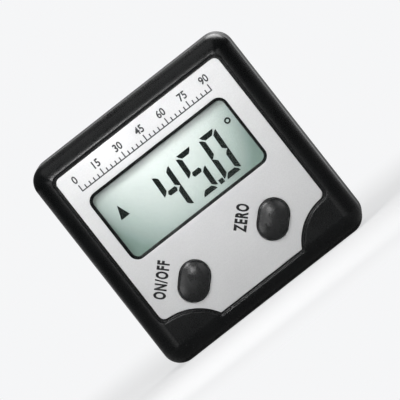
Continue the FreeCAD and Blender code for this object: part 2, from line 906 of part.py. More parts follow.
def damper_yoke():
    """The steel plate behind the damping magnets."""
    half = yoke_half_width()
    rise = damper_size[2] / 2 + yoke_margin
    middle_z = axis_z - weight_middle_radius
    return block(at(-half, yoke_y, middle_z - rise), at(half, frame_y, middle_z + rise))


def damper_magnets():
    """The two block magnets whose field brakes the brass weight."""
    width, depth, height = damper_size
    middle_z = axis_z - weight_middle_radius
    magnets = []
    for side in (-1, 1):
        x = side * damper_spacing / 2
        magnets.append(
            block(
                at(x - width / 2, yoke_y - depth, middle_z - height / 2),
                at(x + width / 2, yoke_y, middle_z + height / 2),
            )
        )
    return Part.makeCompound(magnets)


def carrier_radius():
    """The outside radius of the bearing carrier."""
    return bearing_radius + fit_gap + carrier_wall


def bearing_carrier():
    """The turned sleeve that holds both bearings, with a shoulder between them and a flange on the frame."""
    sleeve = rod(carrier_radius(), bearing_y, carrier_back_y, 0, axis_z)
    flange = rod(carrier_radius() + carrier_flange, frame_back_y, carrier_back_y, 0, axis_z)
    seat = bearing_radius + fit_gap
    return cut_all(
        sleeve.fuse(flange),
        [
            rod(seat, bearing_y - overrun, bearing_y + bearing_width, 0, axis_z),
            rod(seat, rear_bearing_y, carrier_back_y + overrun, 0, axis_z),
            rod(bearing_outer_land, bearing_y, carrier_back_y, 0, axis_z),
        ],
    )


def race(y_from):
    """The round groove that a bearing's balls run in, as a ring."""
    middle = at(0, y_from + bearing_width / 2, axis_z)
    return Part.makeTorus(ball_circle_radius, ball_radius + race_gap, middle, along_y)


def bearing_outer_ring(y_from):
    """A bearing's outer ring."""
    ring = tube(bearing_radius, bearing_outer_land, y_from, y_from + bearing_width, 0, axis_z)
    return ring.cut(race(y_from))


def bearing_inner_ring(y_from):
    """A bearing's inner ring."""
    ring = tube(bearing_inner_land, bearing_bore, y_from, y_from + bearing_width, 0, axis_z)
    return ring.cut(race(y_from))


def bearing_balls(y_from):
    """A bearing's balls, spaced by their cage."""
    middle_y = y_from + bearing_width / 2
    places = [polar(ball_circle_radius, 360 * step / ball_count, middle_y) for step in range(ball_count)]
    balls = [Part.makeSphere(ball_radius, place) for place in places]
    cage = tube(
        ball_circle_radius + cage_thickness / 2,
        ball_circle_radius - cage_thickness / 2,
        middle_y,
        middle_y + cage_width,
        0,
        axis_z,
    )
    pockets = [Part.makeSphere(ball_radius + cage_pocket_gap, place) for place in places]
    return Part.makeCompound(balls + [cut_all(cage, pockets)])


def scale_disc():
    """The disc that the board's pick-up reads."""
    disc = tube(disc_radius, shaft_radius + fit_gap, disc_y, disc_back_y, 0, axis_z)
    return cut_all(disc, rivet_rods(rivet_radius + fit_gap, overrun))


def rivet_rods(radius, extra):
    """The rivets' rods, or their holes, through the disc and the weight."""
    return [
        rod(radius, disc_y - extra, weight_back_y + extra, place.x, place.z)
        for place in (polar(weight_middle_radius, 180 + angle, 0) for angle in rivet_angles)
    ]


def pendulum_weight():
    """The brass sector that always hangs straight down."""
    radii = (weight_outer_radius, weight_inner_radius)
    weight = sector(*radii, 180, weight_half_angle, disc_back_y, weight_back_y)
    return cut_all(weight, rivet_rods(rivet_radius + fit_gap, overrun))


def weight_rivets():
    """The flush rivets that join the weight to the disc."""
    return Part.makeCompound(rivet_rods(rivet_radius, 0))


def pendulum_hub():
    """The flanged hub on the shaft that carries the disc, with a nose against the front bearing."""
    flange_back_y = disc_back_y + hub_flange_thickness
    flange = rod(hub_flange_radius, disc_back_y, flange_back_y, 0, axis_z)
    nose = rod(bearing_inner_land, flange_back_y, bearing_y, 0, axis_z)
    bore = rod(shaft_radius + fit_gap, disc_back_y - overrun, bearing_y + overrun, 0, axis_z)
    return flange.fuse(nose).cut(bore)


def pendulum_shaft():
    """The shaft, with a groove for its clip."""
    shaft = rod(shaft_radius, disc_y, shaft_end_y, 0, axis_z)
    groove = tube(
        shaft_radius + overrun,
        shaft_radius - clip_groove_depth,
        carrier_back_y,
        carrier_back_y + clip_thickness,
        0,
        axis_z,
    )
    return shaft.cut(groove)


def bearing_spacer():
    """The sleeve on the shaft between the two inner rings."""
    return tube(bearing_inner_land, bearing_bore, bearing_y + bearing_width, rear_bearing_y, 0, axis_z)


def shaft_clip():
    """The open clip in the shaft's groove, behind the rear bearing."""
    inner = shaft_radius - clip_groove_depth
    clip = tube(clip_radius, inner, carrier_back_y, carrier_back_y + clip_thickness, 0, axis_z)
    half = clip_slot / 2
    mouth = block(
        at(-half, carrier_back_y - overrun, axis_z),
        at(half, carrier_back_y + clip_thickness + overrun, axis_z + clip_radius + overrun),
    )
    return clip.cut(mouth)


def rear_cover():
    """The rear wall, with locating tongues, screw holes and the battery well with its bayonet ledge."""
    plate = rounded_slab(body_width, body_height, body_corner_radius, 0, axis_z, seam_y, rear_y)
    plate = plate.makeFillet(rear_edge_radius, edges_where(plate, lambda box: lies_on_plane(box, rear_y)))
    plate = plate.makeChamfer(seam_chamfer, edges_where(plate, lambda box: lies_on_plane(box, seam_y)))
    collar = rod(groove_radius + well_wall, lug_y - overrun, seam_y, 0, axis_z)
    well = rod(well_radius + well_wall, well_y, lug_y, 0, axis_z)
    cover = fuse_all([plate, collar, well] + cover_tongues())
    return cut_all(cover, cover_holes())


def cover_tongues():
    """The four straight tongues that slide in behind the housing's walls."""
    tongues = []
    for turn in range(4):
        across, along = (body_width, body_height) if turn % 2 == 0 else (body_height, body_width)
        reach = across / 2 - side_wall - loose_gap
        half = along / 2 - boss_inset - boss_radius - tongue_end_gap
        tongue = block(at(reach - tongue_thickness, seam_y - tongue_depth, -half), at(reach, seam_y, half))
        tongue.rotate(at(0, 0, 0), along_y, 90 * turn)
        tongue.translate(at(0, 0, axis_z))
        tongues.append(tongue)
    return tongues


def cover_holes():
    """What is cut from the rear cover."""
    hole = screw_radius + loose_gap
    sink = screw_head_radius + loose_gap
    seat_y = rear_y - screw_head_height - screw_head_depth
    screw_holes = [rod(hole, seam_y - overrun, rear_y + overrun, x, z) for x, z in boss_places]
    sinks = [rod(sink, seat_y, rear_y + overrun, x, z) for x, z in boss_places]
    mouth = rod(cover_radius + cover_gap, ledge_back_y, rear_y + overrun, 0, axis_z)
    throat = rod(ledge_radius, lug_y - bayonet_play, rear_y, 0, axis_z)
    well = rod(well_radius, well_floor_y, rear_y, 0, axis_z)
    return screw_holes + sinks + [mouth, throat, well] + bayonet_cuts() + contact_cuts()


def lug_angles():
    """The middle angle of each bayonet lug when the battery cover is locked."""
    return [360 * step / bayonet_lug_count for step in range(bayonet_lug_count)]


def bayonet_cuts():
    """The groove that each lug turns in, ending where the lug is locked, and the notch that lets it in."""
    cuts = []
    radii = (groove_radius, ledge_radius - overrun)
    half = bayonet_lug_angle / 2 + bayonet_play_angle
    for angle in lug_angles():
        middle = angle + bayonet_turn / 2
        cuts.append(sector(*radii, middle, half + bayonet_turn / 2, lug_y - bayonet_play, ledge_y))
        cuts.append(sector(*radii, angle + bayonet_turn, half, lug_y, ledge_back_y + overrun))
    return cuts


def contact_cuts():
    """The slots in the battery well for the two contacts."""
    half = contact_width / 2 + loose_gap
    side_slot = block(
        at(cell_radius - overrun, well_y - overrun, axis_z - half),
        at(tail_x + contact_thickness + loose_gap, lug_y - bayonet_play, axis_z + half),
    )
    floor_slot = block(
        at(-contact_length - contact_thickness - loose_gap, well_y - overrun, axis_z - half),
        at(-contact_length + loose_gap, well_floor_y + overrun, axis_z + half),
    )
    return [side_slot, floor_slot]


def rear_cover_screws():
    """The four screws that hold the rear cover."""
    seat_y = rear_y - screw_head_height - screw_head_depth
    tip_y = seam_y - boss_screw_depth + screw_tip
    return Part.makeCompound([screw(x, z, seat_y, tip_y) for x, z in boss_places])


def battery_cover():
    """The round cover: a disc with a coin slot, a skirt that keeps the cell down and three bayonet lugs."""
    disc = rod(cover_radius, cover_y, cover_y + cover_thickness, 0, axis_z)
    skirt = tube(skirt_radius, skirt_radius - skirt_wall, lug_y, cover_y, 0, axis_z)
    radii = (skirt_radius + bayonet_lug_reach, skirt_radius - skirt_wall / 2)
    half = bayonet_lug_angle / 2
    lugs = [sector(*radii, angle, half, lug_y, lug_back_y) for angle in lug_angles()]
    length, depth, width = coin_slot
    top = cover_y + cover_thickness
    slot = block(
        at(-length / 2, top - depth, axis_z - width / 2), at(length / 2, top + overrun, axis_z + width / 2)
    )
    return fuse_all([disc, skirt] + lugs).cut(slot)


def battery_gasket():
    """The flat rubber ring under the battery cover's rim."""
    return tube(cover_radius, skirt_radius + fit_gap, ledge_back_y, cover_y, 0, axis_z)


def coin_cell():
    """The coin cell, its narrower negative cap to the front."""
    cap = rod(cell_radius - cell_cap_step, cell_y, cell_y + cell_step, 0, axis_z)
    can = rod(cell_radius, cell_y + cell_step, cell_back_y, 0, axis_z)
    return cap.fuse(can)


def bent_strip(points):
    """A contact strip bent along points in X and Y, its thickness on the left of the path."""
    path = [FreeCAD.Vector(x, y, 0) for x, y in points]
    normals = []
    for start, end in zip(path, path[1:]):
        run = (end - start).normalize()
        normals.append(FreeCAD.Vector(-run.y, run.x, 0))
    inner = [path[0] + normals[0] * contact_thickness]
    for corner, before, after in zip(path[1:], normals, normals[1:]):
        mitre = (before + after).normalize()
        inner.append(corner + mitre * (contact_thickness / mitre.dot(before)))
    inner.append(path[-1] + normals[-1] * contact_thickness)
    outline = Part.makePolygon(path + inner[::-1] + [path[0]])
    strip = Part.Face(outline).extrude(at(0, 0, contact_width))
    strip.translate(at(0, 0, axis_z - contact_width / 2))
    return strip


def negative_contact():
    """The strip on the well's floor whose tongue lifts to the cell's cap, with a tail through the floor."""
    lift_y = cell_y - contact_thickness
    tail_y = well_y - contact_tail
    return bent_strip(
        [
            (contact_width, lift_y),
            (contact_width / 2, lift_y),
            (-contact_width / 2, well_floor_y),
            (-contact_length, well_floor_y),
            (-contact_length, tail_y),
        ][::-1]
    )


def positive_contact():
    """The strip in the well's side that bows in to the cell's edge, with a tail out of the slot."""
    low_y = cell_y + cell_step
    touch_y = (low_y + cell_back_y) / 2
    return bent_strip(
        [
            (tail_x, well_y - contact_tail),
            (tail_x, low_y),
            (cell_radius + fit_gap, touch_y),
            (tail_x, cell_back_y),
        ][::-1]
    )


def lead(side, start):
    """A lead from a contact's tail to the board: straight runs joined by tangent arcs."""
    points = [
        start,
        at(side * lead_x, start.y, start.z),
        at(side * lead_x, (start.y + board_back_y) / 2, start.z + lead_rise),
        at(side * lead_x, board_back_y, start.z + lead_rise),
    ]
    edges = []
    last = points[0]
    for before, corner, after in zip(points, points[1:], points[2:]):
        back = (before - corner).normalize()
        on = (after - corner).normalize()
        reach = lead_turn_share * min((before - corner).Length, (after - corner).Length)
        turn = math.pi - back.getAngle(on)
        radius = reach / math.tan(turn / 2)
        inward = (back + on).normalize()
        middle = corner + inward * (math.hypot(radius, reach) - radius)
        edges.append(Part.LineSegment(last, corner + back * reach).toShape())
        edges.append(Part.Arc(corner + back * reach, middle, corner + on * reach).toShape())
        last = corner + on * reach
    edges.append(Part.LineSegment(last, points[-1]).toShape())
    path = Part.Wire(edges)
    section = Part.Wire(Part.makeCircle(lead_radius, start, at(side, 0, 0)))
    return path.makePipeShell([section], True, False)


def positive_lead():
    """The lead from the positive contact."""
    return lead(1, at(tail_x + contact_thickness, well_y - contact_tail + lead_radius, axis_z))


def negative_lead():
    """The lead from the negative contact."""
    return lead(-1, at(-contact_length - contact_thickness, well_y - contact_tail + lead_radius, axis_z))


pieces = {
    "front_housing": front_housing,
    "face_label": face_label,
    "display_window": display_window,
    "display_front_polariser": display_front_polariser,
    "display_front_glass": display_front_glass,
    "display_rear_glass": display_rear_glass,
    "display_reflector": display_reflector,
    "display_holder": display_holder,
    "contact_strip": contact_strip,
    "main_board": main_board,
    "processor_cap": processor_cap,
    "board_components": board_components,
    "base_magnets": base_magnets,
    "sensor_frame": sensor_frame,
    "sensor_screws": sensor_screws,
    "damper_yoke": damper_yoke,
    "damper_magnets": damper_magnets,
    "bearing_carrier": bearing_carrier,
    "scale_disc": scale_disc,
    "pendulum_weight": pendulum_weight,
    "weight_rivets": weight_rivets,
    "pendulum_hub": pendulum_hub,
    "pendulum_shaft": pendulum_shaft,
    "bearing_spacer": bearing_spacer,
    "shaft_clip": shaft_clip,
    "rear_cover": rear_cover,
    "rear_cover_screws": rear_cover_screws,
    "battery_cover": battery_cover,
    "battery_gasket": battery_gasket,
    "coin_cell": coin_cell,
    "negative_contact": negative_contact,
    "positive_contact": positive_contact,
    "positive_lead": positive_lead,
    "negative_lead": negative_lead,
}


def all_pieces():
    """Every piece's name and shape."""
    shapes = {name: make() for name, make in pieces.items()}
    for button, x in zip(("power", "zero"), button_places):
        shapes[button + "_button"] = button_cap(x)
        shapes[button + "_switch_base"] = switch_base(x)
        shapes[button + "_switch_plate"] = switch_plate(x)
        shapes[button + "_switch_dome"] = switch_dome(x)
        shapes[button + "_switch_plunger"] = switch_plunger(x)
    for place, y_from in (("front", bearing_y), ("rear", rear_bearing_y)):
        shapes[place + "_bearing_outer_ring"] = bearing_outer_ring(y_from)
        shapes[place + "_bearing_inner_ring"] = bearing_inner_ring(y_from)
        shapes[place + "_bearing_balls"] = bearing_balls(y_from)
    return shapes


os.makedirs("parts", exist_ok=True)
for name, shape in all_pieces().items():
    shape.exportStep("parts/" + name + ".step")
print("case", round(body_width, 3), "x", round(body_depth, 3), "x", round(body_height, 3))
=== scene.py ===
"""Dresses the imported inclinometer: finishes, display segments, printing, studio light and camera.

Metres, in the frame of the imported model: X to the right as seen from the front, Y to the back, Z up.
"""

import logging
import math
from abc import ABC, abstractmethod
from collections.abc import Callable
from dataclasses import dataclass, field, replace
from enum import Enum

import bmesh
import bpy
from mathutils import Matrix, Vector


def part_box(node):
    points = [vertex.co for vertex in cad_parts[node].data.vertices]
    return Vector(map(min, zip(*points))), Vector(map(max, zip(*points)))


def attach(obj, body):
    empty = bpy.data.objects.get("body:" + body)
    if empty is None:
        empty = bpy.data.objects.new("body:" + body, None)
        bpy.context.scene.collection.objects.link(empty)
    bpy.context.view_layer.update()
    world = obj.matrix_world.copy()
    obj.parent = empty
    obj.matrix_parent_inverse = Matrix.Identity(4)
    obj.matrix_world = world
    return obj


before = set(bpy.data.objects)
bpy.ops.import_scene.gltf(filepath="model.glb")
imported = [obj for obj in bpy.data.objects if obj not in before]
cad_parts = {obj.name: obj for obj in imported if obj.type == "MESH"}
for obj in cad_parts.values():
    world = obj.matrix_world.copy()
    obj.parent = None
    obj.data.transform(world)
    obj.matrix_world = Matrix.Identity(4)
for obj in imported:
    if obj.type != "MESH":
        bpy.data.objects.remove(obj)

Colour = tuple[float, float, float]
Triple = tuple[float, float, float]
Point = tuple[float, float]
Socket = bpy.types.NodeSocket
Tree = bpy.types.NodeTree
Given = bpy.types.NodeOutputs
Results = dict[str, Socket]

MM = 0.001
MIDDLE_HEIGHT = 25.4
AXIS: Triple = (0.0, 0.0, MIDDLE_HEIGHT * MM)
DUST_COLOUR: Colour = (0.30, 0.29, 0.27)
PALE_COLOUR: Colour = (0.985, 0.99, 1.0)

log = logging.getLogger("inclinometer")


class Body(Enum):
    """The moving bodies that new pieces ride on."""

    CASE = "case"
    BATTERY_COVER = "battery_cover"


class Pattern(Enum):
    """What runs over a finish besides its grain."""

    NONE = "none"
    BRUSHED = "brushed"
    TURNED = "turned"
    STRIPED = "striped"
    TRACKS = "tracks"


class Upright(Enum):
    """Whether a display segment lies flat or stands up, as its quarter turns."""

    FLAT = 0
    STANDING = 1


def rgba(colour: Colour) -> tuple[float, float, float, float]:
    """A colour with full alpha."""
    return (*colour, 1.0)


def grey(level: float) -> Colour:
    """A neutral colour."""
    return (level, level, level)


class Graph:
    """Adds nodes to one node tree and links them."""

    def __init__(self, tree: Tree) -> None:
        """Starts an empty graph in a tree."""
        self.tree = tree
        tree.nodes.clear()

    def feed(self, socket: Socket, value: object) -> None:
        """Fills one input.

        Args:
            socket: the input.
            value: the socket that it is linked to, or its own value.
        """
        if isinstance(value, Socket):
            self.tree.links.new(value, socket)
        else:
            socket.default_value = value

    def add(self, kind: str, inputs: dict | None = None, **settings: object) -> bpy.types.Node:
        """Adds a node.

        Args:
            kind: the node's type, without "ShaderNode".
            inputs: values or sockets for the node's inputs, by name or number.
            settings: the node's own settings.

        Returns:
            The node.
        """
        node = self.tree.nodes.new("ShaderNode" + kind)
        for name, value in settings.items():
            setattr(node, name, value)
        for name, value in (inputs or {}).items():
            self.feed(node.inputs[name], value)
        return node

    def group(self, tree: Tree, **inputs: object) -> Given:
        """The outputs of a shared node group that has its own values."""
        return self.add("Group", inputs, node_tree=tree).outputs

    def math(self, operation: str, first: object, second: object, clamp: bool = False) -> Socket:
        """The result of a math node on two values."""
        return self.add("Math", {0: first, 1: second}, operation=operation, use_clamp=clamp).outputs[0]

    def times(self, first: object, second: object, clamp: bool = False) -> Socket:
        """Two values multiplied."""
        return self.math("MULTIPLY", first, second, clamp)

    def plus(self, first: object, second: object, clamp: bool = False) -> Socket:
        """Two values added."""
        return self.math("ADD", first, second, clamp)

    def sum(self, weights: Point, first: Socket, second: Socket) -> Socket:
        """Two values added by weight."""
        return self.plus(self.times(first, weights[0]), self.times(second, weights[1]))

    def remap(self, value: Socket, low: float, high: float, to_low: float = 0.0, to_high: float = 1.0) -> Socket:
        """A value moved from one range to another, smoothly and held at both ends."""
        inputs = {"Value": value, "From Min": low, "From Max": high, "To Min": to_low, "To Max": to_high}
        return self.add("MapRange", inputs, interpolation_type="SMOOTHSTEP").outputs[0]

    def between(self, share: Socket, low: float, high: float) -> Socket:
        """A value that goes from one level to another as a share goes from 0 to 1."""
        return self.remap(share, 0.0, 1.0, low, high)

    def blend(self, share: object, first: object, second: object, how: str = "MIX") -> Socket:
        """Two colours mixed by a share.

        Args:
            share: how much of the second colour shows.
            first: the first colour, or its socket.
            second: the second colour, or its socket.
            how: the blend type.

        Returns:
            The mixed colour's socket.
        """
        node = self.add("Mix", data_type="RGBA", blend_type=how, clamp_factor=True)
        self.feed(node.inputs[0], share)
        self.feed(node.inputs[6], first)
        self.feed(node.inputs[7], second)
        return node.outputs[2]

    def place(self) -> Socket:
        """The point on the piece, in its object coordinates."""
        return self.add("TexCoord").outputs["Object"]

    def offset(self, centre: Triple) -> Socket:
        """The way from a centre to the point on the piece."""
        return self.add("VectorMath", {0: self.place(), 1: centre}, operation="SUBTRACT").outputs[0]

    def length(self, vector: Socket) -> Socket:
        """The length of a vector."""
        return self.add("VectorMath", {0: vector}, operation="LENGTH").outputs["Value"]

    def axis(self, point: Socket, name: str) -> Socket:
        """One coordinate of a point."""
        return self.add("SeparateXYZ", {"Vector": point}).outputs[name]

    def mapped(self, turn: Triple, stretch: Triple) -> Socket:
        """The point on the piece, turned and stretched."""
        inputs = {"Vector": self.place(), "Rotation": turn, "Scale": stretch}
        return self.add("Mapping", inputs).outputs[0]

    def noise(self, point: Socket, scale: object, detail: float = 2.0, rough: float = 0.5) -> Socket:
        """A noise value between 0 and 1."""
        inputs = {"Vector": point, "Scale": scale, "Detail": detail, "Roughness": rough}
        return self.add("TexNoise", inputs).outputs["Fac"]

    def cells(self, scale: object, feature: str = "F1") -> Socket:
        """The distance from the point on the piece to the nearest of many scattered points."""
        inputs = {"Vector": self.place(), "Scale": scale}
        return self.add("TexVoronoi", inputs, feature=feature).outputs["Distance"]

    def stripes(self, scale: float) -> Socket:
        """Even stripes that follow each other along X."""
        inputs = {"Vector": self.place(), "Scale": scale}
        return self.add("TexWave", inputs, bands_direction="X").outputs["Fac"]

    def bump(self, height: Socket, depth: float, strength: float = 1.0, **others: object) -> Socket:
        """The normal of a relief."""
        inputs = {"Strength": strength, "Distance": depth, "Height": height, **others}
        return self.add("Bump", inputs).outputs[0]

    def principled(self, colour: object, rough: Socket, normal: Socket, others: dict | None = None) -> Socket:
        """The output of a Principled shader."""
        inputs = {"Base Color": colour, "Roughness": rough, "Normal": normal, **(others or {})}
        return self.add("BsdfPrincipled", inputs).outputs[0]

    def mix(self, share: Socket, first: Socket, second: Socket) -> Socket:
        """Two shaders mixed by a share."""
        return self.add("MixShader", {0: share, 1: first, 2: second}).outputs[0]


class SharedGroups:
    """The node groups that several finishes use. Each is built once."""

    RELIEF_WEIGHTS = (0.5, 0.6)
    FINE_BAND = (0.3, 0.7)
    PATCH_BAND = (0.34, 0.66)
    BEVEL_SAMPLES = 6
    BEND_BAND = (0.004, 0.12)
    RUB_SCALE = 900.0
    RUB_BAND = (0.38, 0.62)
    RUB_LEAST = 0.25
    SCRATCH_TURNS = ((0.5, 0.3), (2.1, 1.2), (3.9, -0.7))
    SCRATCH_STRETCH = (1.0, 30.0, 30.0)
    SCRATCH_BAND = (0.66, 0.74)
    UPWARD_BAND = (-0.2, 1.0)
    UPWARD_LEAST = 0.35
    CLOUD_SCALE = 140.0
    CLOUD_BAND = (0.42, 0.72)
    SPECK_SCALE = 2600.0
    SPECK_BAND = (0.68, 0.76)
    DUST_WEIGHTS = (0.7, 0.6)

    def __init__(self) -> None:
        """Builds every group."""
        self.grain = self.make("surface_grain", {"Size": 0.0002, "Patch": 0.004}, self.build_grain)
        self.wear = self.make("edge_wear", {"Radius": 0.0003, "Amount": 0.3}, self.build_wear)
        self.scratches = self.make("fine_scratches", {"Length": 0.004, "Amount": 0.3}, self.build_scratches)
        self.dust = self.make("settled_dust", {"Amount": 0.1}, self.build_dust)

    @staticmethod
    def make(name: str, inputs: dict[str, float], build: Callable[[Graph, Given], Results]) -> Tree:
        """Makes one group.

        Args:
            name: the group's name.
            inputs: the group's inputs, with their defaults.
            build: the method that fills the group and returns its outputs by name.

        Returns:
            The group's node tree.
        """
        tree = bpy.data.node_groups.new(name, "ShaderNodeTree")
        graph = Graph(tree)
        for label, value in inputs.items():
            socket = tree.interface.new_socket(name=label, in_out="INPUT", socket_type="NodeSocketFloat")
            socket.default_value = value
        results = build(graph, tree.nodes.new("NodeGroupInput").outputs)
        for label, socket in results.items():
            kind = "NodeSocketVector" if socket.type == "VECTOR" else "NodeSocketFloat"
            tree.interface.new_socket(name=label, in_out="OUTPUT", socket_type=kind)
        sink = tree.nodes.new("NodeGroupOutput")
        for label, socket in results.items():
            graph.feed(sink.inputs[label], socket)
        return tree

    def build_grain(self, graph: Graph, given: Given) -> Results:
        """Fine spark-eroded grain, and broad patches that are a little smoother or darker.

        Args:
            graph: the group's graph.
            given: its inputs, the size of the grain and of the patches.

        Returns:
            The grain's height, its fine part and the patches.
        """
        scale = graph.math("DIVIDE", 1.0, given["Size"])
        pits = graph.cells(scale, "SMOOTH_F1")
        fine = graph.noise(graph.place(), scale, 4.0, 0.6)
        height = graph.sum(self.RELIEF_WEIGHTS, pits, fine)
        patches = graph.noise(graph.place(), graph.math("DIVIDE", 1.0, given["Patch"]), 3.0)
        return {
            "Height": height,
            "Fine": graph.remap(fine, *self.FINE_BAND),
            "Patches": graph.remap(patches, *self.PATCH_BAND),
        }

    def build_wear(self, graph: Graph, given: Given) -> Results:
        """Rounded edges, and a broken mask where they are rubbed.

        Args:
            graph: the group's graph.
            given: its inputs, the edges' radius and the wear's amount.

        Returns:
            The mask and the rounded normal.
        """
        rounded = graph.add("Bevel", {"Radius": given["Radius"]}, samples=self.BEVEL_SAMPLES).outputs[0]
        straight = graph.add("NewGeometry").outputs["Normal"]
        dot = graph.add("VectorMath", {0: rounded, 1: straight}, operation="DOT_PRODUCT").outputs["Value"]
        bend = graph.remap(graph.math("SUBTRACT", 1.0, dot), *self.BEND_BAND)
        clouds = graph.noise(graph.place(), self.RUB_SCALE, 4.0, 0.7)
        broken = graph.remap(clouds, *self.RUB_BAND, self.RUB_LEAST, 1.0)
        return {"Mask": graph.times(graph.times(bend, broken), given["Amount"], clamp=True), "Normal": rounded}

    def build_scratches(self, graph: Graph, given: Given) -> Results:
        """Hairline scratches in three directions.

        Args:
            graph: the group's graph.
            given: its inputs, the scratches' length and amount.

        Returns:
            The mask.
        """
        scale = graph.math("DIVIDE", 1.0, given["Length"])
        total = None
        for turn, tilt in self.SCRATCH_TURNS:
            point = graph.mapped((tilt, turn, turn * tilt), self.SCRATCH_STRETCH)
            streak = graph.remap(graph.noise(point, scale, 2.0, 0.4), *self.SCRATCH_BAND)
            total = streak if total is None else graph.math("MAXIMUM", total, streak)
        return {"Mask": graph.times(total, given["Amount"])}

    def build_dust(self, graph: Graph, given: Given) -> Results:
        """Thin dust, more of it on faces that look up.

        Args:
            graph: the group's graph.
            given: its input, the dust's amount.

        Returns:
            The mask.
        """
        height = graph.axis(graph.add("TexCoord").outputs["Normal"], "Z")
        upward = graph.remap(height, *self.UPWARD_BAND, self.UPWARD_LEAST, 1.0)
        clouds = graph.remap(graph.noise(graph.place(), self.CLOUD_SCALE, 5.0, 0.65), *self.CLOUD_BAND)
        specks = graph.remap(graph.noise(graph.place(), self.SPECK_SCALE, 1.0), *self.SPECK_BAND)
        both = graph.sum(self.DUST_WEIGHTS, clouds, specks)
        return {"Mask": graph.times(graph.times(both, upward), given["Amount"], clamp=True)}


shared = SharedGroups()


class Surface(ABC):
    """A surface that knows how to fill its material."""

    @abstractmethod
    def shade(self, graph: Graph) -> Socket:
        """Adds the surface's nodes to a graph and returns its shader's output."""

    def material(self, name: str) -> bpy.types.Material:
        """Builds the material.

        Args:
            name: the material's name.

        Returns:
            The material.
        """
        material = bpy.data.materials.new(name)
        material.use_nodes = True
        graph = Graph(material.node_tree)
        graph.add("OutputMaterial", {"Surface": self.shade(graph)})
        return material


@dataclass(frozen=True)
class MouldTexture:
    """The coarser matt texture that a moulded shell has behind its smooth front edge."""

    start: float
    fade: float
    colour: Colour
    roughness: float
    pit_size: float
    depth: float

    def mask(self, graph: Graph) -> Socket:
        """Where the texture lies: behind a given Y."""
        return graph.remap(graph.axis(graph.place(), "Y"), self.start, self.start + self.fade)

    def pits(self, graph: Graph) -> Socket:
        """The relief of spark-eroded pits."""
        return graph.cells(1.0 / self.pit_size, "SMOOTH_F1")


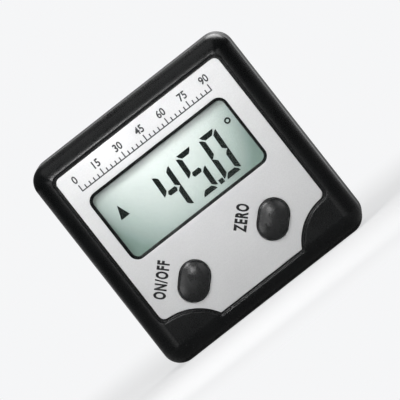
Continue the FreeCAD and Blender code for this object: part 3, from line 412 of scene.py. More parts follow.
@dataclass(frozen=True)
class Finish(Surface):
    """A solid finish with grain, worn edges, scratches and dust.

    Colours are linear. Sizes are in metres, shares go from 0 to 1. A pattern adds its own colour and relief.
    """

    FINE_ROUGHNESS = 0.06
    DUST_ROUGHNESS = 0.4
    SCRATCH_DEPTH = 0.8
    PATTERN_DEPTH = 1.2
    PATTERN_SHARES = {Pattern.BRUSHED: 0.35, Pattern.TURNED: 0.35, Pattern.STRIPED: 0.85, Pattern.TRACKS: 0.85}
    BRUSH_STRETCH = (1.0, 1.0, 60.0)
    BRUSH_SCALE = 140.0
    STRIPE_SCALE = 1800.0
    STRIPE_BAND = (0.35, 0.65)
    RING_SCALE = 5200.0
    TRACK_SCALE = 260.0
    TRACK_GAP = 0.02
    PAD_SCALE = 420.0
    PAD_BAND = (0.16, 0.2)

    colour: Colour
    tint: Colour
    roughness: float
    worn: Colour = (0.8, 0.8, 0.8)
    spread: float = 0.08
    metallic: float = 0.0
    specular: float = 0.5
    grain_size: float = 0.0002
    grain_depth: float = 0.000012
    patch_size: float = 0.004
    patch_share: float = 0.8
    fine_share: float = 0.25
    edge_radius: float = 0.00025
    wear: float = 0.35
    scratches: float = 0.1
    scratch_length: float = 0.004
    dust: float = 0.08
    pattern: Pattern = Pattern.NONE
    texture: MouldTexture | None = None

    def shade(self, graph: Graph) -> Socket:
        """Adds the finish's nodes.

        Args:
            graph: the material's graph.

        Returns:
            The shader's output.
        """
        grain = graph.group(shared.grain, Size=self.grain_size, Patch=self.patch_size)
        wear = graph.group(shared.wear, Radius=self.edge_radius, Amount=self.wear)
        marks = graph.group(shared.scratches, Length=self.scratch_length, Amount=self.scratches)
        dust = graph.group(shared.dust, Amount=self.dust)
        tint = rgba(self.tint)
        colour = graph.blend(graph.times(grain["Patches"], self.patch_share), rgba(self.colour), tint)
        colour = graph.blend(graph.times(grain["Fine"], self.fine_share), colour, tint)
        rough = graph.between(grain["Patches"], self.roughness - self.spread, self.roughness + self.spread)
        rough = graph.plus(rough, graph.times(grain["Fine"], self.FINE_ROUGHNESS))
        height = graph.math("SUBTRACT", grain["Height"], graph.times(marks["Mask"], self.SCRATCH_DEPTH))
        if self.pattern is not Pattern.NONE:
            mask = self.pattern_mask(graph)
            colour = graph.blend(graph.times(mask, self.PATTERN_SHARES[self.pattern]), colour, tint)
            height = graph.plus(height, graph.times(mask, self.PATTERN_DEPTH))
        if self.texture:
            mask = self.texture.mask(graph)
            pits = graph.times(self.texture.pits(graph), mask)
            colour = graph.blend(mask, colour, rgba(self.texture.colour))
            rough = graph.plus(rough, graph.times(mask, self.texture.roughness - self.roughness))
            height = graph.plus(height, graph.times(pits, self.texture.depth / self.grain_depth))
        for layer, over in ((wear, self.worn), (marks, self.worn), (dust, DUST_COLOUR)):
            colour = graph.blend(layer["Mask"], colour, rgba(over))
        rough = graph.plus(rough, graph.times(dust["Mask"], self.DUST_ROUGHNESS), clamp=True)
        normal = graph.bump(height, self.grain_depth, Normal=wear["Normal"])
        others = {"Metallic": self.metallic, "Specular IOR Level": self.specular}
        return graph.principled(colour, rough, normal, others)

    def pattern_mask(self, graph: Graph) -> Socket:
        """The mask of the pattern: brush lines, stripes, rings round the object's axis, or copper tracks.

        Args:
            graph: the material's graph.

        Returns:
            The mask.
        """
        if self.pattern is Pattern.BRUSHED:
            return graph.noise(graph.mapped((0.0, 0.0, 0.0), self.BRUSH_STRETCH), self.BRUSH_SCALE, 4.0, 0.6)
        if self.pattern is Pattern.STRIPED:
            return graph.remap(graph.stripes(self.STRIPE_SCALE), *self.STRIPE_BAND)
        if self.pattern is Pattern.TURNED:
            across = {0: graph.offset(AXIS), 1: (1.0, 0.0, 1.0)}
            flat = graph.add("VectorMath", across, operation="MULTIPLY").outputs[0]
            line = graph.add("CombineXYZ", {"X": graph.length(flat)}).outputs[0]
            return graph.noise(line, self.RING_SCALE, 2.0, 0.6)
        point = graph.mapped((math.pi / 2, 0.0, 0.0), (1.0, 1.0, 1.0))
        bricks = {"Vector": point, "Scale": self.TRACK_SCALE, "Mortar Size": self.TRACK_GAP}
        tracks = graph.add("TexBrick", bricks).outputs["Fac"]
        pads = graph.remap(graph.cells(self.PAD_SCALE), *self.PAD_BAND, 1.0, 0.0)
        return graph.math("MAXIMUM", tracks, pads)


@dataclass(frozen=True)
class ClearLens(Surface):
    """Moulded clear acrylic with the faintest hairlines. Shadows pass through it."""

    colour: Colour = (0.97, 0.99, 0.98)
    roughness: float = 0.03
    smear_roughness: float = 0.09
    smear_scale: float = 160.0
    smear_band: Point = (0.35, 0.7)
    ior: float = 1.49
    scratch_length: float = 0.006
    scratch_depth: float = 0.000002
    scratch_strength: float = 0.4

    def shade(self, graph: Graph) -> Socket:
        """Adds the lens's nodes.

        Args:
            graph: the material's graph.

        Returns:
            The shader's output.
        """
        marks = graph.group(shared.scratches, Length=self.scratch_length, Amount=1.0)
        smears = graph.noise(graph.place(), self.smear_scale, 3.0)
        rough = graph.remap(smears, *self.smear_band, self.roughness, self.smear_roughness)
        normal = graph.bump(marks["Mask"], self.scratch_depth, self.scratch_strength)
        others = {"IOR": self.ior, "Transmission Weight": 1.0}
        shader = graph.principled(rgba(self.colour), rough, normal, others)
        clear = graph.add("BsdfTransparent", {"Color": rgba(self.colour)}).outputs[0]
        return graph.mix(graph.add("LightPath").outputs["Is Shadow Ray"], shader, clear)


@dataclass(frozen=True)
class DisplayFilm(Surface):
    """The grey-green face of the display with a fine speckle. Its colour holds a painted reflection, palest at the
    top middle, that fades to painted shade towards the lower corners.

    Across is how far to the side it takes to go from the pale colour of the painted reflection to the painted
    shade colour, and down how far below.
    """

    pale: Colour
    deep: Colour
    palest: Triple
    across: float
    down: float
    roughness: float = 0.33
    spread: float = 0.04
    speckle: Point = (0.90, 1.04)
    grain_size: float = 0.00016
    patch_size: float = 0.003
    grain_depth: float = 0.000004
    grain_strength: float = 0.5

    def shade(self, graph: Graph) -> Socket:
        """Adds the film's nodes.

        Args:
            graph: the material's graph.

        Returns:
            The shader's output.
        """
        # Painted reflection and shade: the colour goes from the pale top middle to the darker lower corners.
        shifted = graph.offset(self.palest)
        aside = graph.math("DIVIDE", graph.axis(shifted, "X"), self.across)
        below = graph.math("DIVIDE", graph.axis(shifted, "Z"), -self.down)
        depth = graph.plus(graph.times(aside, aside), below, clamp=True)
        grain = graph.group(shared.grain, Size=self.grain_size, Patch=self.patch_size)
        colour = graph.blend(depth, rgba(self.pale), rgba(self.deep))
        colour = graph.blend(1.0, colour, graph.between(grain["Fine"], *self.speckle), "MULTIPLY")
        rough = graph.between(grain["Patches"], self.roughness - self.spread, self.roughness + self.spread)
        return graph.principled(colour, rough, graph.bump(grain["Height"], self.grain_depth, self.grain_strength))


@dataclass(frozen=True)
class DisplayGlass(Surface):
    """The thin plates of the liquid-crystal cell, with faint conductor lines."""

    colour: Colour = (0.90, 0.95, 0.93)
    line_colour: Colour = (0.80, 0.88, 0.90)
    line_scale: float = 700.0
    line_band: Point = (0.7, 0.9)
    line_share: float = 0.3
    roughness: float = 0.04
    smear_roughness: float = 0.16
    smear_scale: float = 300.0
    smear_band: Point = (0.3, 0.7)
    ior: float = 1.52
    edge_radius: float = 0.0001

    def shade(self, graph: Graph) -> Socket:
        """Adds the glass's nodes.

        Args:
            graph: the material's graph.

        Returns:
            The shader's output.
        """
        faint = graph.remap(graph.stripes(self.line_scale), *self.line_band)
        colour = graph.blend(graph.times(faint, self.line_share), rgba(self.colour), rgba(self.line_colour))
        smears = graph.noise(graph.place(), self.smear_scale, 3.0)
        rough = graph.remap(smears, *self.smear_band, self.roughness, self.smear_roughness)
        normal = graph.group(shared.wear, Radius=self.edge_radius, Amount=0.0)["Normal"]
        return graph.principled(colour, rough, normal, {"IOR": self.ior, "Transmission Weight": 1.0})


TURNED_METAL = {"metallic": 1.0, "pattern": Pattern.TURNED}
BRUSHED_METAL = {"metallic": 1.0, "pattern": Pattern.BRUSHED}

FINISHES: dict[str, Surface] = {
    "black_plastic": Finish(
        colour=(0.0022, 0.0026, 0.0028), tint=(0.0038, 0.0043, 0.0046), worn=(0.02, 0.021, 0.022),
        roughness=0.25, spread=0.012, specular=0.22, grain_size=0.00022, grain_depth=1e-5,
        patch_size=0.006, edge_radius=0.0003, wear=0.2, scratches=0.04, dust=0.012,
        texture=MouldTexture(
            start=-10.8 * MM, fade=2.0 * MM, colour=(0.01, 0.0106, 0.0112), roughness=0.46,
            pit_size=0.42 * MM, depth=0.030 * MM,
        ),
    ),
    # The label's strong edge wear lightens its rim: partly rubbed foil, partly a painted highlight along its cut
    # edge.
    "label_foil": Finish(
        colour=(0.555, 0.558, 0.562), tint=(0.425, 0.429, 0.433),
        roughness=0.355, spread=0.03, metallic=0.54, grain_size=0.00026, grain_depth=1.4e-5,
        patch_size=0.01, patch_share=0.12, fine_share=0.35, edge_radius=0.00018, wear=0.7,
        scratches=0.06, dust=0.02,
    ),
    "clear_lens": ClearLens(),
    "display_glass": DisplayGlass(),
    # The film's colours paint a reflection at the top middle and shade towards the lower corners.
    "polariser_film": DisplayFilm(
        pale=(0.735, 0.76, 0.75), deep=(0.148, 0.208, 0.187),
        palest=(-0.3 * MM, 0.0, 38.6 * MM), across=22.0 * MM, down=25.0 * MM,
    ),
    "reflector_film": Finish(
        colour=(0.62, 0.64, 0.63), tint=(0.52, 0.55, 0.54),
        roughness=0.35, metallic=0.7, grain_size=0.0001, patch_size=0.003,
    ),
    "button_rubber": Finish(
        colour=(0.0018, 0.0024, 0.0026), tint=(0.0038, 0.0044, 0.0047), worn=(0.02, 0.02, 0.021),
        roughness=0.25, spread=0.02, specular=0.47, grain_size=0.00016, grain_depth=1e-5,
        patch_size=0.0015, edge_radius=0.0002, wear=0.0, scratches=0.02, dust=0.015,
    ),
    "holder_plastic": Finish(
        colour=(0.62, 0.61, 0.57), tint=(0.54, 0.53, 0.49), worn=grey(0.75),
        roughness=0.45, grain_size=0.0003, edge_radius=0.0003,
    ),
    "strip_rubber": Finish(
        colour=(0.55, 0.28, 0.3), tint=grey(0.02), worn=grey(0.3),
        roughness=0.6, pattern=Pattern.STRIPED, scratches=0.0,
    ),
    "board_laminate": Finish(
        colour=(0.012, 0.11, 0.045), tint=(0.03, 0.22, 0.085), worn=(0.45, 0.42, 0.25),
        roughness=0.3, grain_size=0.0004, pattern=Pattern.TRACKS, wear=0.6,
    ),
    "chip_epoxy": Finish(
        colour=grey(0.01), tint=grey(0.016), worn=grey(0.03),
        roughness=0.16, grain_size=0.0016, grain_depth=6e-5, patch_size=0.002,
    ),
    "component_metal": Finish(
        colour=(0.55, 0.5, 0.42), tint=(0.66, 0.65, 0.63), worn=grey(0.85),
        roughness=0.35, metallic=0.6, grain_size=0.00015, patch_size=0.0012,
    ),
    "magnet_nickel": Finish(
        colour=(0.66, 0.64, 0.6), tint=(0.54, 0.52, 0.49), worn=(0.36, 0.34, 0.31),
        roughness=0.22, metallic=1.0, grain_size=0.0004, grain_depth=4e-6,
        patch_size=0.0022, wear=0.5, scratches=0.35, scratch_length=0.003,
    ),
    "switch_plastic": Finish(colour=grey(0.014), tint=grey(0.022), worn=grey(0.06), roughness=0.5),
    "switch_steel": Finish(
        colour=(0.62, 0.61, 0.59), tint=(0.52, 0.51, 0.5),
        roughness=0.28, grain_depth=4e-6, **BRUSHED_METAL,
    ),
    "plunger_plastic": Finish(
        colour=(0.1, 0.05, 0.02), tint=(0.14, 0.075, 0.035), worn=(0.25, 0.15, 0.09), roughness=0.45,
    ),
    "frame_plastic": Finish(
        colour=(0.055, 0.057, 0.06), tint=(0.085, 0.087, 0.09), worn=grey(0.16),
        roughness=0.5, grain_size=0.0003, grain_depth=2e-5,
    ),
    "yoke_steel": Finish(
        colour=(0.52, 0.53, 0.55), tint=(0.42, 0.43, 0.46), worn=grey(0.7),
        roughness=0.35, grain_depth=6e-6, **BRUSHED_METAL,
    ),
    "brass": Finish(
        colour=(0.7, 0.5, 0.2), tint=(0.6, 0.4, 0.14), worn=(0.82, 0.66, 0.34),
        roughness=0.28, grain_depth=6e-6, **TURNED_METAL,
    ),
    "disc_laminate": Finish(
        colour=(0.55, 0.5, 0.28), tint=(0.7, 0.42, 0.22), worn=(0.7, 0.65, 0.5),
        roughness=0.38, pattern=Pattern.TURNED,
    ),
    "bearing_steel": Finish(
        colour=(0.62, 0.62, 0.63), tint=(0.54, 0.54, 0.56), worn=grey(0.75),
        roughness=0.14, spread=0.04, grain_depth=2e-6, **TURNED_METAL,
    ),
    "shaft_steel": Finish(
        colour=grey(0.58), tint=(0.48, 0.48, 0.49), worn=grey(0.72),
        roughness=0.2, grain_depth=3e-6, **TURNED_METAL,
    ),
    "screw_steel": Finish(
        colour=(0.46, 0.46, 0.47), tint=(0.34, 0.34, 0.35), worn=grey(0.75),
        roughness=0.3, metallic=1.0, grain_size=0.0003, grain_depth=8e-6, patch_size=0.001,
        wear=0.6, scratches=0.2, scratch_length=0.0015,
    ),
    "gasket_rubber": Finish(colour=grey(0.018), tint=grey(0.03), worn=grey(0.05), roughness=0.7, specular=0.3),
    "cell_steel": Finish(
        colour=(0.66, 0.66, 0.65), tint=grey(0.56),
        roughness=0.22, grain_depth=3e-6, **TURNED_METAL,
    ),
    "contact_metal": Finish(
        colour=(0.72, 0.66, 0.5), tint=(0.62, 0.56, 0.42),
        roughness=0.24, grain_depth=4e-6, **BRUSHED_METAL,
    ),
    "lead_red": Finish(
        colour=(0.42, 0.012, 0.01), tint=(0.52, 0.022, 0.018), worn=(0.6, 0.08, 0.06), roughness=0.4,
    ),
    "lead_black": Finish(colour=grey(0.012), tint=grey(0.02), worn=grey(0.05), roughness=0.4),
}

DARK_INK = Finish(
    colour=(0.006, 0.007, 0.008), tint=(0.012, 0.013, 0.014), worn=grey(0.08),
    roughness=0.42, grain_size=0.00012, grain_depth=4e-6, edge_radius=5e-5,
    wear=0.2, scratches=0.06, dust=0.02, specular=0.3,
)
HEADER_INK = replace(
    DARK_INK, colour=(0.03, 0.032, 0.034), tint=(0.05, 0.052, 0.054), worn=grey(0.18), wear=0.25, scratches=0.10
)
SEGMENT_DARK = replace(
    DARK_INK, colour=(0.003, 0.005, 0.004), tint=(0.006, 0.009, 0.008), worn=(0.02, 0.03, 0.025),
    roughness=0.65, grain_depth=3e-6, wear=0.1, scratches=0.0, dust=0.0, specular=0.08,
)


@dataclass
class FlatPiece:
    """A thin piece built from flat shapes that lie on a face looking forwards or backwards.

    Surface is the face's Y and thickness how far the piece stands proud of it, both in metres. The shapes are
    drawn round the origin in X and Y, in millimetres, put on the face, and then get their thickness.
    """

    SQUARE = (0.0, 0.0, 0.0)
    CURVE_STEPS = 4
    WELD_DISTANCE = MM / 1000

    name: str
    surface: float
    thickness: float
    faces_back: bool = False
    bm: bmesh.types.BMesh = field(default_factory=bmesh.new)

    def place(self, x: float, z: float, angle: float = 0.0) -> Matrix:
        """The matrix that puts a shape drawn in X and Y round the origin on the face.

        Args:
            x: where the shape's middle goes, in millimetres.
            z: how high it goes, in millimetres.
            angle: how far it is turned, in degrees, anticlockwise as its face is read.

        Returns:
            The matrix.
        """
        stand = Matrix.Rotation(math.pi / 2, 4, "X")
        if self.faces_back:
            stand = Matrix.Rotation(math.pi, 4, "Z") @ stand
        turn = Matrix.Rotation(math.radians(angle), 4, "Z")
        return Matrix.Translation((x * MM, self.surface, z * MM)) @ stand @ turn @ Matrix.Scale(MM, 4)

    def bar(self, length: float, width: float, cuts: Triple, place: Matrix) -> None:
        """Adds a bar with cut ends.

        Args:
            length: the bar's full length, in millimetres.
            width: its width.
            cuts: how much shorter each end is at its lower edge, its middle and its upper edge.
            place: where it goes.
        """
        verts = bmesh.ops.create_grid(self.bm, x_segments=1, y_segments=2, size=0.5)["verts"]
        bmesh.ops.scale(self.bm, vec=(length, width, 1.0), verts=verts)
        for row, cut in zip((-1, 0, 1), cuts):
            near = [vert for vert in verts if abs(vert.co.y - row * width / 2) < width / 8]
            for side in (-1, 1):
                ends = [vert for vert in near if vert.co.x * side > 0]
                bmesh.ops.translate(self.bm, vec=(-side * cut, 0.0, 0.0), verts=ends)
        bmesh.ops.transform(self.bm, matrix=place, verts=verts)

    def ring(self, outer: float, inner: float, segments: int, place: Matrix) -> None:
        """Adds a flat ring.

        Args:
            outer: its outer radius, in millimetres.
            inner: its inner radius.
            segments: how many sides it has.
            place: where it goes.
        """
        rim = bmesh.ops.create_circle(self.bm, cap_ends=False, radius=outer, segments=segments)["verts"]
        edges = list({edge for vert in rim for edge in vert.link_edges})
        grown = bmesh.ops.extrude_edge_only(self.bm, edges=edges)["geom"]
        inside = [item for item in grown if isinstance(item, bmesh.types.BMVert)]
        bmesh.ops.scale(self.bm, vec=(inner / outer, inner / outer, 1.0), verts=inside)
        bmesh.ops.transform(self.bm, matrix=place, verts=rim + inside)

    def triangle(self, half_width: float, low: float, high: float, place: Matrix) -> None:
        """Adds a triangle that points up.

        Args:
            half_width: half the width of its base, in millimetres.
            low: how high its base lies.
            high: how high its tip lies.
            place: where it goes.
        """
        verts = bmesh.ops.create_circle(self.bm, cap_ends=True, radius=1.0, segments=3)["verts"]
        for vert, (x, y) in zip(verts, ((0.0, high), (-half_width, low), (half_width, low))):
            vert.co = (x, y, 0.0)
        bmesh.ops.transform(self.bm, matrix=place, verts=verts)

    def words(
        self, text: str, height: float, place: Matrix, narrow: float = 1.0, bold: float = 0.0, spacing: float = 1.0
    ) -> None:
        """Adds words in the stock font.

        Args:
            text: what is written.
            height: the height of its capitals, in millimetres.
            place: where its middle goes.
            narrow: its width as a share of the font's own.
            bold: how far its outlines are pushed out, as a share of the font's size.
            spacing: the pitch of its letters as a share of the font's own.
        """
        curve = bpy.data.curves.new(self.name + "_words", "FONT")
        curve.body = text
        curve.offset = bold
        curve.space_character = spacing
        curve.resolution_u = self.CURVE_STEPS
        holder = bpy.data.objects.new(self.name + "_words", curve)
        mesh = bpy.data.meshes.new_from_object(holder)
        bpy.data.objects.remove(holder)
        bpy.data.curves.remove(curve)
        across = [vertex.co.x for vertex in mesh.vertices]
        up = [vertex.co.y for vertex in mesh.vertices]
        size = height / (max(up) - min(up))
        centred = Matrix.Translation((-(min(across) + max(across)) / 2, -(max(up) + min(up)) / 2, 0.0))
        fitted = Matrix.Diagonal((size * narrow, size, 1.0, 1.0)) @ centred
        mesh.transform(place @ fitted)
        self.bm.from_mesh(mesh)
        bpy.data.meshes.remove(mesh)

    def finish(self, body: Body, slot: str, finish: Finish) -> bpy.types.Object:
        """Gives the shapes their thickness and makes the piece.

        Args:
            body: the body that it rides on.
            slot: the slot that it belongs to; not used.
            finish: its finish.

        Returns:
            The new object.
        """
        bm = self.bm
        bmesh.ops.remove_doubles(bm, verts=bm.verts, dist=self.WELD_DISTANCE)
        made = bmesh.ops.extrude_face_region(bm, geom=list(bm.faces), use_keep_orig=True)
        raised = [item for item in made["geom"] if isinstance(item, bmesh.types.BMVert)]
        step = self.thickness if self.faces_back else -self.thickness
        bmesh.ops.translate(bm, vec=(0.0, step, 0.0), verts=raised)
        bmesh.ops.recalc_face_normals(bm, faces=list(bm.faces))
        mesh = bpy.data.meshes.new(self.name)
        bm.to_mesh(mesh)
        bm.free()
        piece = bpy.data.objects.new(self.name, mesh)
        bpy.context.scene.collection.objects.link(piece)
        mesh.materials.append(finish.material(self.name + "_finish"))
        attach(piece, body.value)
        return piece


@dataclass
class DisplayFigures:
    """The dark segments of the display: three digits, the point, the degree ring and the arrow."""

    digit_height: float = 10.3
    digit_width: float = 4.35
    segment_width: float = 1.14
    segment_gap: float = 0.20
    tip_cut: float = 0.22
    digit_middle_z: float = 29.85
    digit_x: tuple[float, ...] = (-3.02, 3.30, 9.37)
    digits: tuple[str, ...] = ("fgbc", "afgcd", "abcdef")
    slant: float = 3.0
    point_place: Point = (6.21, 25.25)
    point_side: float = 1.08
    ring_place: Point = (14.83, 34.34)
    ring_radii: Point = (0.70, 0.33)
    ring_segments: int = 24
    arrow_x: float = -14.0
    arrow_half_width: float = 1.12
    arrow_heights: Point = (31.6, 34.6)
    thickness: float = 0.05 * MM

    def segments(self) -> dict[str, tuple[Upright, float, float, int]]:
        """Where each segment of a digit lies.

        Returns:
            For each segment, how it lies, its middle in X and Z from the digit's middle, and the side
            of its longer edge: 1 for up or left, -1 for down or right, 0 for the middle bar.
        """
        across = (self.digit_width - self.segment_width) / 2
        up = (self.digit_height - self.segment_width) / 2
        return {
            "a": (Upright.FLAT, 0.0, up, 1),
            "b": (Upright.STANDING, across, up / 2, -1),
            "c": (Upright.STANDING, across, -up / 2, -1),
            "d": (Upright.FLAT, 0.0, -up, -1),
            "e": (Upright.STANDING, -across, -up / 2, 1),
            "f": (Upright.STANDING, -across, up / 2, 1),
            "g": (Upright.FLAT, 0.0, 0.0, 0),
        }

    def add_digit(self, piece: FlatPiece, letters: str, x: float) -> None:
        """Adds one digit.

        Args:
            piece: the piece that the segments go into.
            letters: the segments that are lit.
            x: the digit's middle.
        """
        width = self.segment_width
        tip = width * self.tip_cut
        ends = (width, width / 2, tip)
        cuts = {1: ends, -1: ends[::-1], 0: (width / 2, tip, width / 2)}
        shear = Matrix.Identity(4)
        shear[0][1] = math.tan(math.radians(self.slant))
        slanted = piece.place(x, self.digit_middle_z) @ shear
        for letter in letters:
            lie, side, rise, edge = self.segments()[letter]
            length = self.digit_width if lie is Upright.FLAT else (self.digit_height + width) / 2
            length -= 2 * self.segment_gap
            if letter == "g":
                length -= width
            turn = Matrix.Rotation(math.pi / 2 * lie.value, 4, "Z")
            shift = Matrix.Translation((side, rise, 0.0))
            piece.bar(length, width, cuts[edge], slanted @ shift @ turn)

    def build(self) -> bpy.types.Object:
        """Builds the figures on the display's front film.

        Returns:
            The new object.
        """
        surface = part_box("display_front_polariser")[0].y
        piece = FlatPiece("display_figures", surface, self.thickness)
        for letters, x in zip(self.digits, self.digit_x):
            self.add_digit(piece, letters, x)
        piece.bar(self.point_side, self.point_side, piece.SQUARE, piece.place(*self.point_place))
        piece.ring(*self.ring_radii, self.ring_segments, piece.place(*self.ring_place))
        piece.triangle(self.arrow_half_width, *self.arrow_heights, piece.place(self.arrow_x, 0.0))
        return piece.finish(Body.CASE, "polariser_film", SEGMENT_DARK)


@dataclass
class FacePrinting:
    """What is printed on the face label: the buttons' functions, and a plain scale in the header."""

    word_angle: float = 45.0
    labels: tuple[tuple[str, Point, float], ...] = (
        ("ON/OFF", (-16.18, 16.82), 2.68),
        ("ZERO", (4.77, 16.78), 2.76),
    )
    narrow: float = 0.57
    bold: float = 0.044
    spacing: float = 1.2
    scale_left: float = -17.6
    scale_right: float = 16.2
    scale_low: float = 41.35
    scale_top: int = 90
    small_step: int = 3
    number_step: int = 15
    tick_width: float = 0.27
    tick_heights: Point = (0.75, 1.35)
    tick_angle: float = 90.0
    number_height: float = 1.75
    number_gap: float = 0.45
    number_narrow: float = 0.85
    number_bold: float = 0.022
    thickness: float = 0.02 * MM

    def start(self, name: str) -> FlatPiece:
        """An empty piece on the label."""
        return FlatPiece(name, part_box("face_label")[0].y, self.thickness)

    def build_words(self) -> bpy.types.Object:
        """Builds the two function words.

        Returns:
            The new object.
        """
        piece = self.start("function_words")
        for text, middle, height in self.labels:
            place = piece.place(*middle, self.word_angle)
            piece.words(text, height, place, self.narrow, self.bold, self.spacing)
        return piece.finish(Body.CASE, "label_foil", DARK_INK)

    def build_scale(self) -> bpy.types.Object:
        """Builds the header's scale: a line, its ticks and plain numbers.

        Returns:
            The new object.
        """
        piece = self.start("header_scale")
        span = self.scale_right - self.scale_left
        middle = (self.scale_left + self.scale_right) / 2
        piece.bar(span + self.tick_width, self.tick_width, piece.SQUARE, piece.place(middle, self.scale_low))
        foot = self.scale_low + self.tick_width / 2
        number_z = foot + self.tick_heights[1] + self.number_gap + self.number_height / 2
        for value in range(0, self.scale_top + 1, self.small_step):
            x = self.scale_left + span * value / self.scale_top
            numbered = value % self.number_step == 0
            height = self.tick_heights[int(numbered)]
            place = piece.place(x, foot + height / 2, self.tick_angle)
            piece.bar(height, self.tick_width, piece.SQUARE, place)
            if numbered:
                place = piece.place(x, number_z)
                piece.words(str(value), self.number_height, place, self.number_narrow, self.number_bold)
        return piece.finish(Body.CASE, "label_foil", HEADER_INK)


@dataclass
class CoverMarks:
    """The raised arrows round the battery cover's coin slot that show how it opens."""

    radius: float = 9.6
    width: float = 0.5
    start: float = 25.0
    sweep: float = 52.0
    steps: int = 16
    head: float = 0.95
    head_length: float = 1.425
    half_turns: Point = (0.0, 180.0)
    thickness: float = 0.07 * MM

    def build(self) -> bpy.types.Object:
        """Builds two arrows, one on each side of the slot.

        Returns:
            The new object.
        """
        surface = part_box("battery_cover")[1].y
        piece = FlatPiece("battery_cover_arrows", surface, self.thickness, faces_back=True)
        for half_turn in self.half_turns:
            self.add_arrow(piece, half_turn)
        return piece.finish(Body.BATTERY_COVER, "black_plastic", FINISHES["black_plastic"])

    def add_arrow(self, piece: FlatPiece, half_turn: float) -> None:
        """Adds one arrow.

        Args:
            piece: the piece that the arrow goes into.
            half_turn: how far round the cover it is turned, in degrees.
        """
        bm = piece.bm
        placed = set(bm.verts)
        inner = bm.verts.new((self.radius - self.width / 2, 0.0, 0.0))
        outer = bm.verts.new((self.radius + self.width / 2, 0.0, 0.0))
        edge = bm.edges.new((inner, outer))
        start = Matrix.Rotation(math.radians(self.start), 4, "Z")
        bmesh.ops.transform(bm, matrix=start, verts=[inner, outer])
        bmesh.ops.spin(
            bm, geom=[inner, outer, edge], cent=(0.0, 0.0, 0.0), axis=(0.0, 0.0, 1.0),
            angle=math.radians(self.sweep), steps=self.steps,
        )
        drawn = [vert for vert in bm.verts if vert not in placed]
        matrix = piece.place(0.0, MIDDLE_HEIGHT, half_turn)
        bmesh.ops.transform(bm, matrix=matrix, verts=drawn)
        end = Matrix.Rotation(math.radians(self.start + self.sweep), 4, "Z")
        tip = end @ Matrix.Translation((self.radius, 0.0, 0.0))
        piece.triangle(self.head, 0.0, self.head_length, matrix @ tip)


@dataclass
class Dressing:
    """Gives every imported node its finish."""

    made: dict[str, bpy.types.Material] = field(default_factory=dict)

    def dress(self, name: str, node: bpy.types.Object) -> None:
        """Sets one node's materials from the slots that they are named after.

        Args:
            name: the node's name.
            node: its object.
        """
        for holder in node.material_slots:
            slot = holder.material.name.split(".")[0]
            if slot not in self.made:
                self.made[slot] = FINISHES[slot].material(slot + "_finish")
            holder.material = self.made[slot]
        log.info("dressed %s", name)


@dataclass(frozen=True)
class FloorPaper(Surface):
    """Pale paper that keeps its shadows near the object and fades into the backdrop farther away.

    Metal sees the backdrop's light only in the floor behind the object. From below, the floor is clear.
    """

    glow: float
    colours: Point = (0.42, 0.43)
    camera_colour: float = 0.68
    grain_size: float = 0.0015
    patch_size: float = 0.08
    fade_band: Point = (0.05, 0.30)
    fade_least: float = 0.68
    shine_band: Point = (0.1, 0.5)

    def shade(self, graph: Graph) -> Socket:
        """Adds the floor's nodes.

        Args:
            graph: the material's graph.

        Returns:
            The shader's output.
        """
        grain = graph.group(shared.grain, Size=self.grain_size, Patch=self.patch_size)
        path = graph.add("LightPath").outputs
        colour = graph.blend(grain["Patches"], *(rgba(grey(level)) for level in self.colours))
        colour = graph.blend(path["Is Camera Ray"], colour, rgba(grey(self.camera_colour)))
        paper = graph.add("BsdfDiffuse", {"Color": colour}).outputs[0]
        pale = graph.add("Emission", {"Color": rgba(PALE_COLOUR), "Strength": self.glow}).outputs[0]
        behind = graph.remap(graph.axis(graph.place(), "Y"), *self.shine_band)
        shine = graph.times(behind, path["Is Glossy Ray"])
        seen = graph.math("MAXIMUM", path["Is Camera Ray"], shine)
        far = graph.remap(graph.length(graph.place()), *self.fade_band, self.fade_least, 1.0)
        top = graph.mix(graph.times(far, seen), paper, pale)
        clear = graph.add("BsdfTransparent").outputs[0]
        return graph.mix(graph.add("NewGeometry").outputs["Backfacing"], top, clear)


@dataclass(frozen=True)
class Lamp:
    """A square soft light that looks at the object's middle. Metres and watts."""

    name: str
    place: Triple
    size: float
    power: float

    def build(self) -> None:
        """Adds the light to the scene."""
        light = bpy.data.lights.new(self.name, "AREA")
        light.size = self.size
        light.energy = self.power
        lamp = bpy.data.objects.new(self.name, light)
        aim = Vector(AXIS) - Vector(self.place)
        lamp.rotation_mode = "QUATERNION"
        lamp.rotation_quaternion = aim.to_track_quat("-Z", "Y")
        lamp.location = self.place
        lamp.visible_camera = False
        bpy.context.scene.collection.objects.link(lamp)


LAMPS = (
    Lamp("key_light", (-0.015, -0.152, 0.138), 0.035, 0.18),
    Lamp("front_light", (-0.004, -0.2, 0.066), 0.03, 0.07),
    Lamp("top_light", (0.0, -0.06, 0.5), 0.4, 0.4),
    Lamp("left_light", (-0.3, -0.42, 0.12), 0.24, 0.55),
    Lamp("right_light", (0.3, -0.42, 0.12), 0.24, 0.42),
    Lamp("back_light", (0.3, 0.6, 0.5), 0.5, 3.4),
)


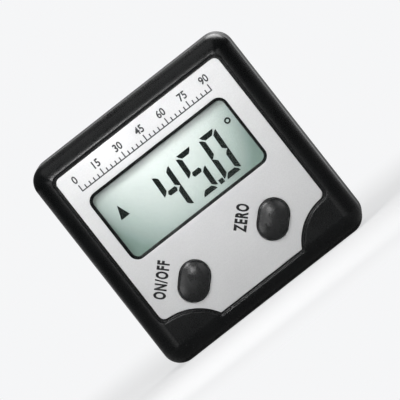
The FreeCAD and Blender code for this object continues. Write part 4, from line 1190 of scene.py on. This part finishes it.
@dataclass
class Studio:
    """Floor, backdrop colour, lamps and camera. Angles in degrees, distances in millimetres."""

    pitch: float = 1.2
    yaw: float = -1.5
    roll: float = 38.1
    distance: float = 3000.0
    pixels_per_mm: float = 4.816
    centre_pixel: Point = (198.1, 196.7)
    frame_pixels: float = 400.0
    sensor: float = 36.0
    clip_range: Point = (0.01, 20.0)
    backdrop: float = 0.93
    backdrop_band: Point = (0.9, 1.0)
    room_band: Point = (-0.2, 0.9)
    room_levels: Point = (0.045, 0.102)
    floor_radius: float = 1.5
    floor_segments: int = 96

    def build(self) -> None:
        """Builds the whole studio."""
        self.build_world()
        self.build_floor()
        for lamp in LAMPS:
            lamp.build()
        self.build_camera()
        bpy.context.scene.view_settings.view_transform = "Standard"

    def build_world(self) -> None:
        """A soft grey room, brighter overhead, with a pale backdrop that camera, metal and glass see."""
        world = bpy.data.worlds.new("studio_room")
        world.use_nodes = True
        graph = Graph(world.node_tree)
        direction = graph.add("TexCoord").outputs["Generated"]
        level = graph.remap(graph.axis(direction, "Z"), *self.room_band, *self.room_levels)
        behind = graph.remap(graph.axis(direction, "Y"), *self.backdrop_band)
        path = graph.add("LightPath").outputs
        shine = graph.math("MAXIMUM", path["Is Glossy Ray"], path["Is Transmission Ray"])
        seen = graph.math("MAXIMUM", path["Is Camera Ray"], graph.times(behind, shine))
        room = graph.add("Background", {"Color": rgba(grey(1.0)), "Strength": level}).outputs[0]
        pale = graph.add("Background", {"Color": rgba(PALE_COLOUR), "Strength": self.backdrop}).outputs[0]
        graph.add("OutputWorld", {"Surface": graph.mix(seen, room, pale)})
        bpy.context.scene.world = world

    def build_floor(self) -> None:
        """Lays the floor under the object."""
        bm = bmesh.new()
        bmesh.ops.create_circle(bm, cap_ends=True, radius=self.floor_radius, segments=self.floor_segments)
        mesh = bpy.data.meshes.new("studio_floor")
        bm.to_mesh(mesh)
        bm.free()
        floor = bpy.data.objects.new("studio_floor", mesh)
        bpy.context.scene.collection.objects.link(floor)
        mesh.materials.append(FloorPaper(self.backdrop).material("studio_floor_finish"))

    def build_camera(self) -> None:
        """The camera, placed and rolled as in the photograph."""
        turn = Matrix.Rotation(math.radians(self.pitch), 4, "X") @ Matrix.Rotation(math.radians(self.yaw), 4, "Z")
        data = bpy.data.cameras.new("photograph_view")
        data.sensor_width = self.sensor
        data.lens = self.pixels_per_mm * self.distance * self.sensor / self.frame_pixels
        data.shift_x = (self.frame_pixels / 2 - self.centre_pixel[0]) / self.frame_pixels
        data.shift_y = (self.centre_pixel[1] - self.frame_pixels / 2) / self.frame_pixels
        data.clip_start, data.clip_end = self.clip_range
        camera = bpy.data.objects.new("photograph_view", data)
        bpy.context.scene.collection.objects.link(camera)
        look = Matrix.Rotation(math.pi / 2, 4, "X") @ Matrix.Rotation(-math.radians(self.roll), 4, "Z")
        start = Matrix.Translation((0.0, -self.distance * MM, 0.0))
        camera.matrix_world = Matrix.Translation(AXIS) @ turn.inverted() @ start @ look
        bpy.context.scene.camera = camera


def main() -> None:
    """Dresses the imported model, adds the new pieces and sets up the studio."""
    logging.basicConfig(level=logging.INFO, format="%(message)s")
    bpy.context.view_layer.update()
    dressing = Dressing()
    for name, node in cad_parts.items():
        dressing.dress(name, node)
    printing = FacePrinting()
    figures = DisplayFigures().build()
    for piece in (figures, printing.build_words(), printing.build_scale(), CoverMarks().build()):
        log.info("built %s", piece.name)
    Studio().build()


if __name__ == "__main__":
    main()
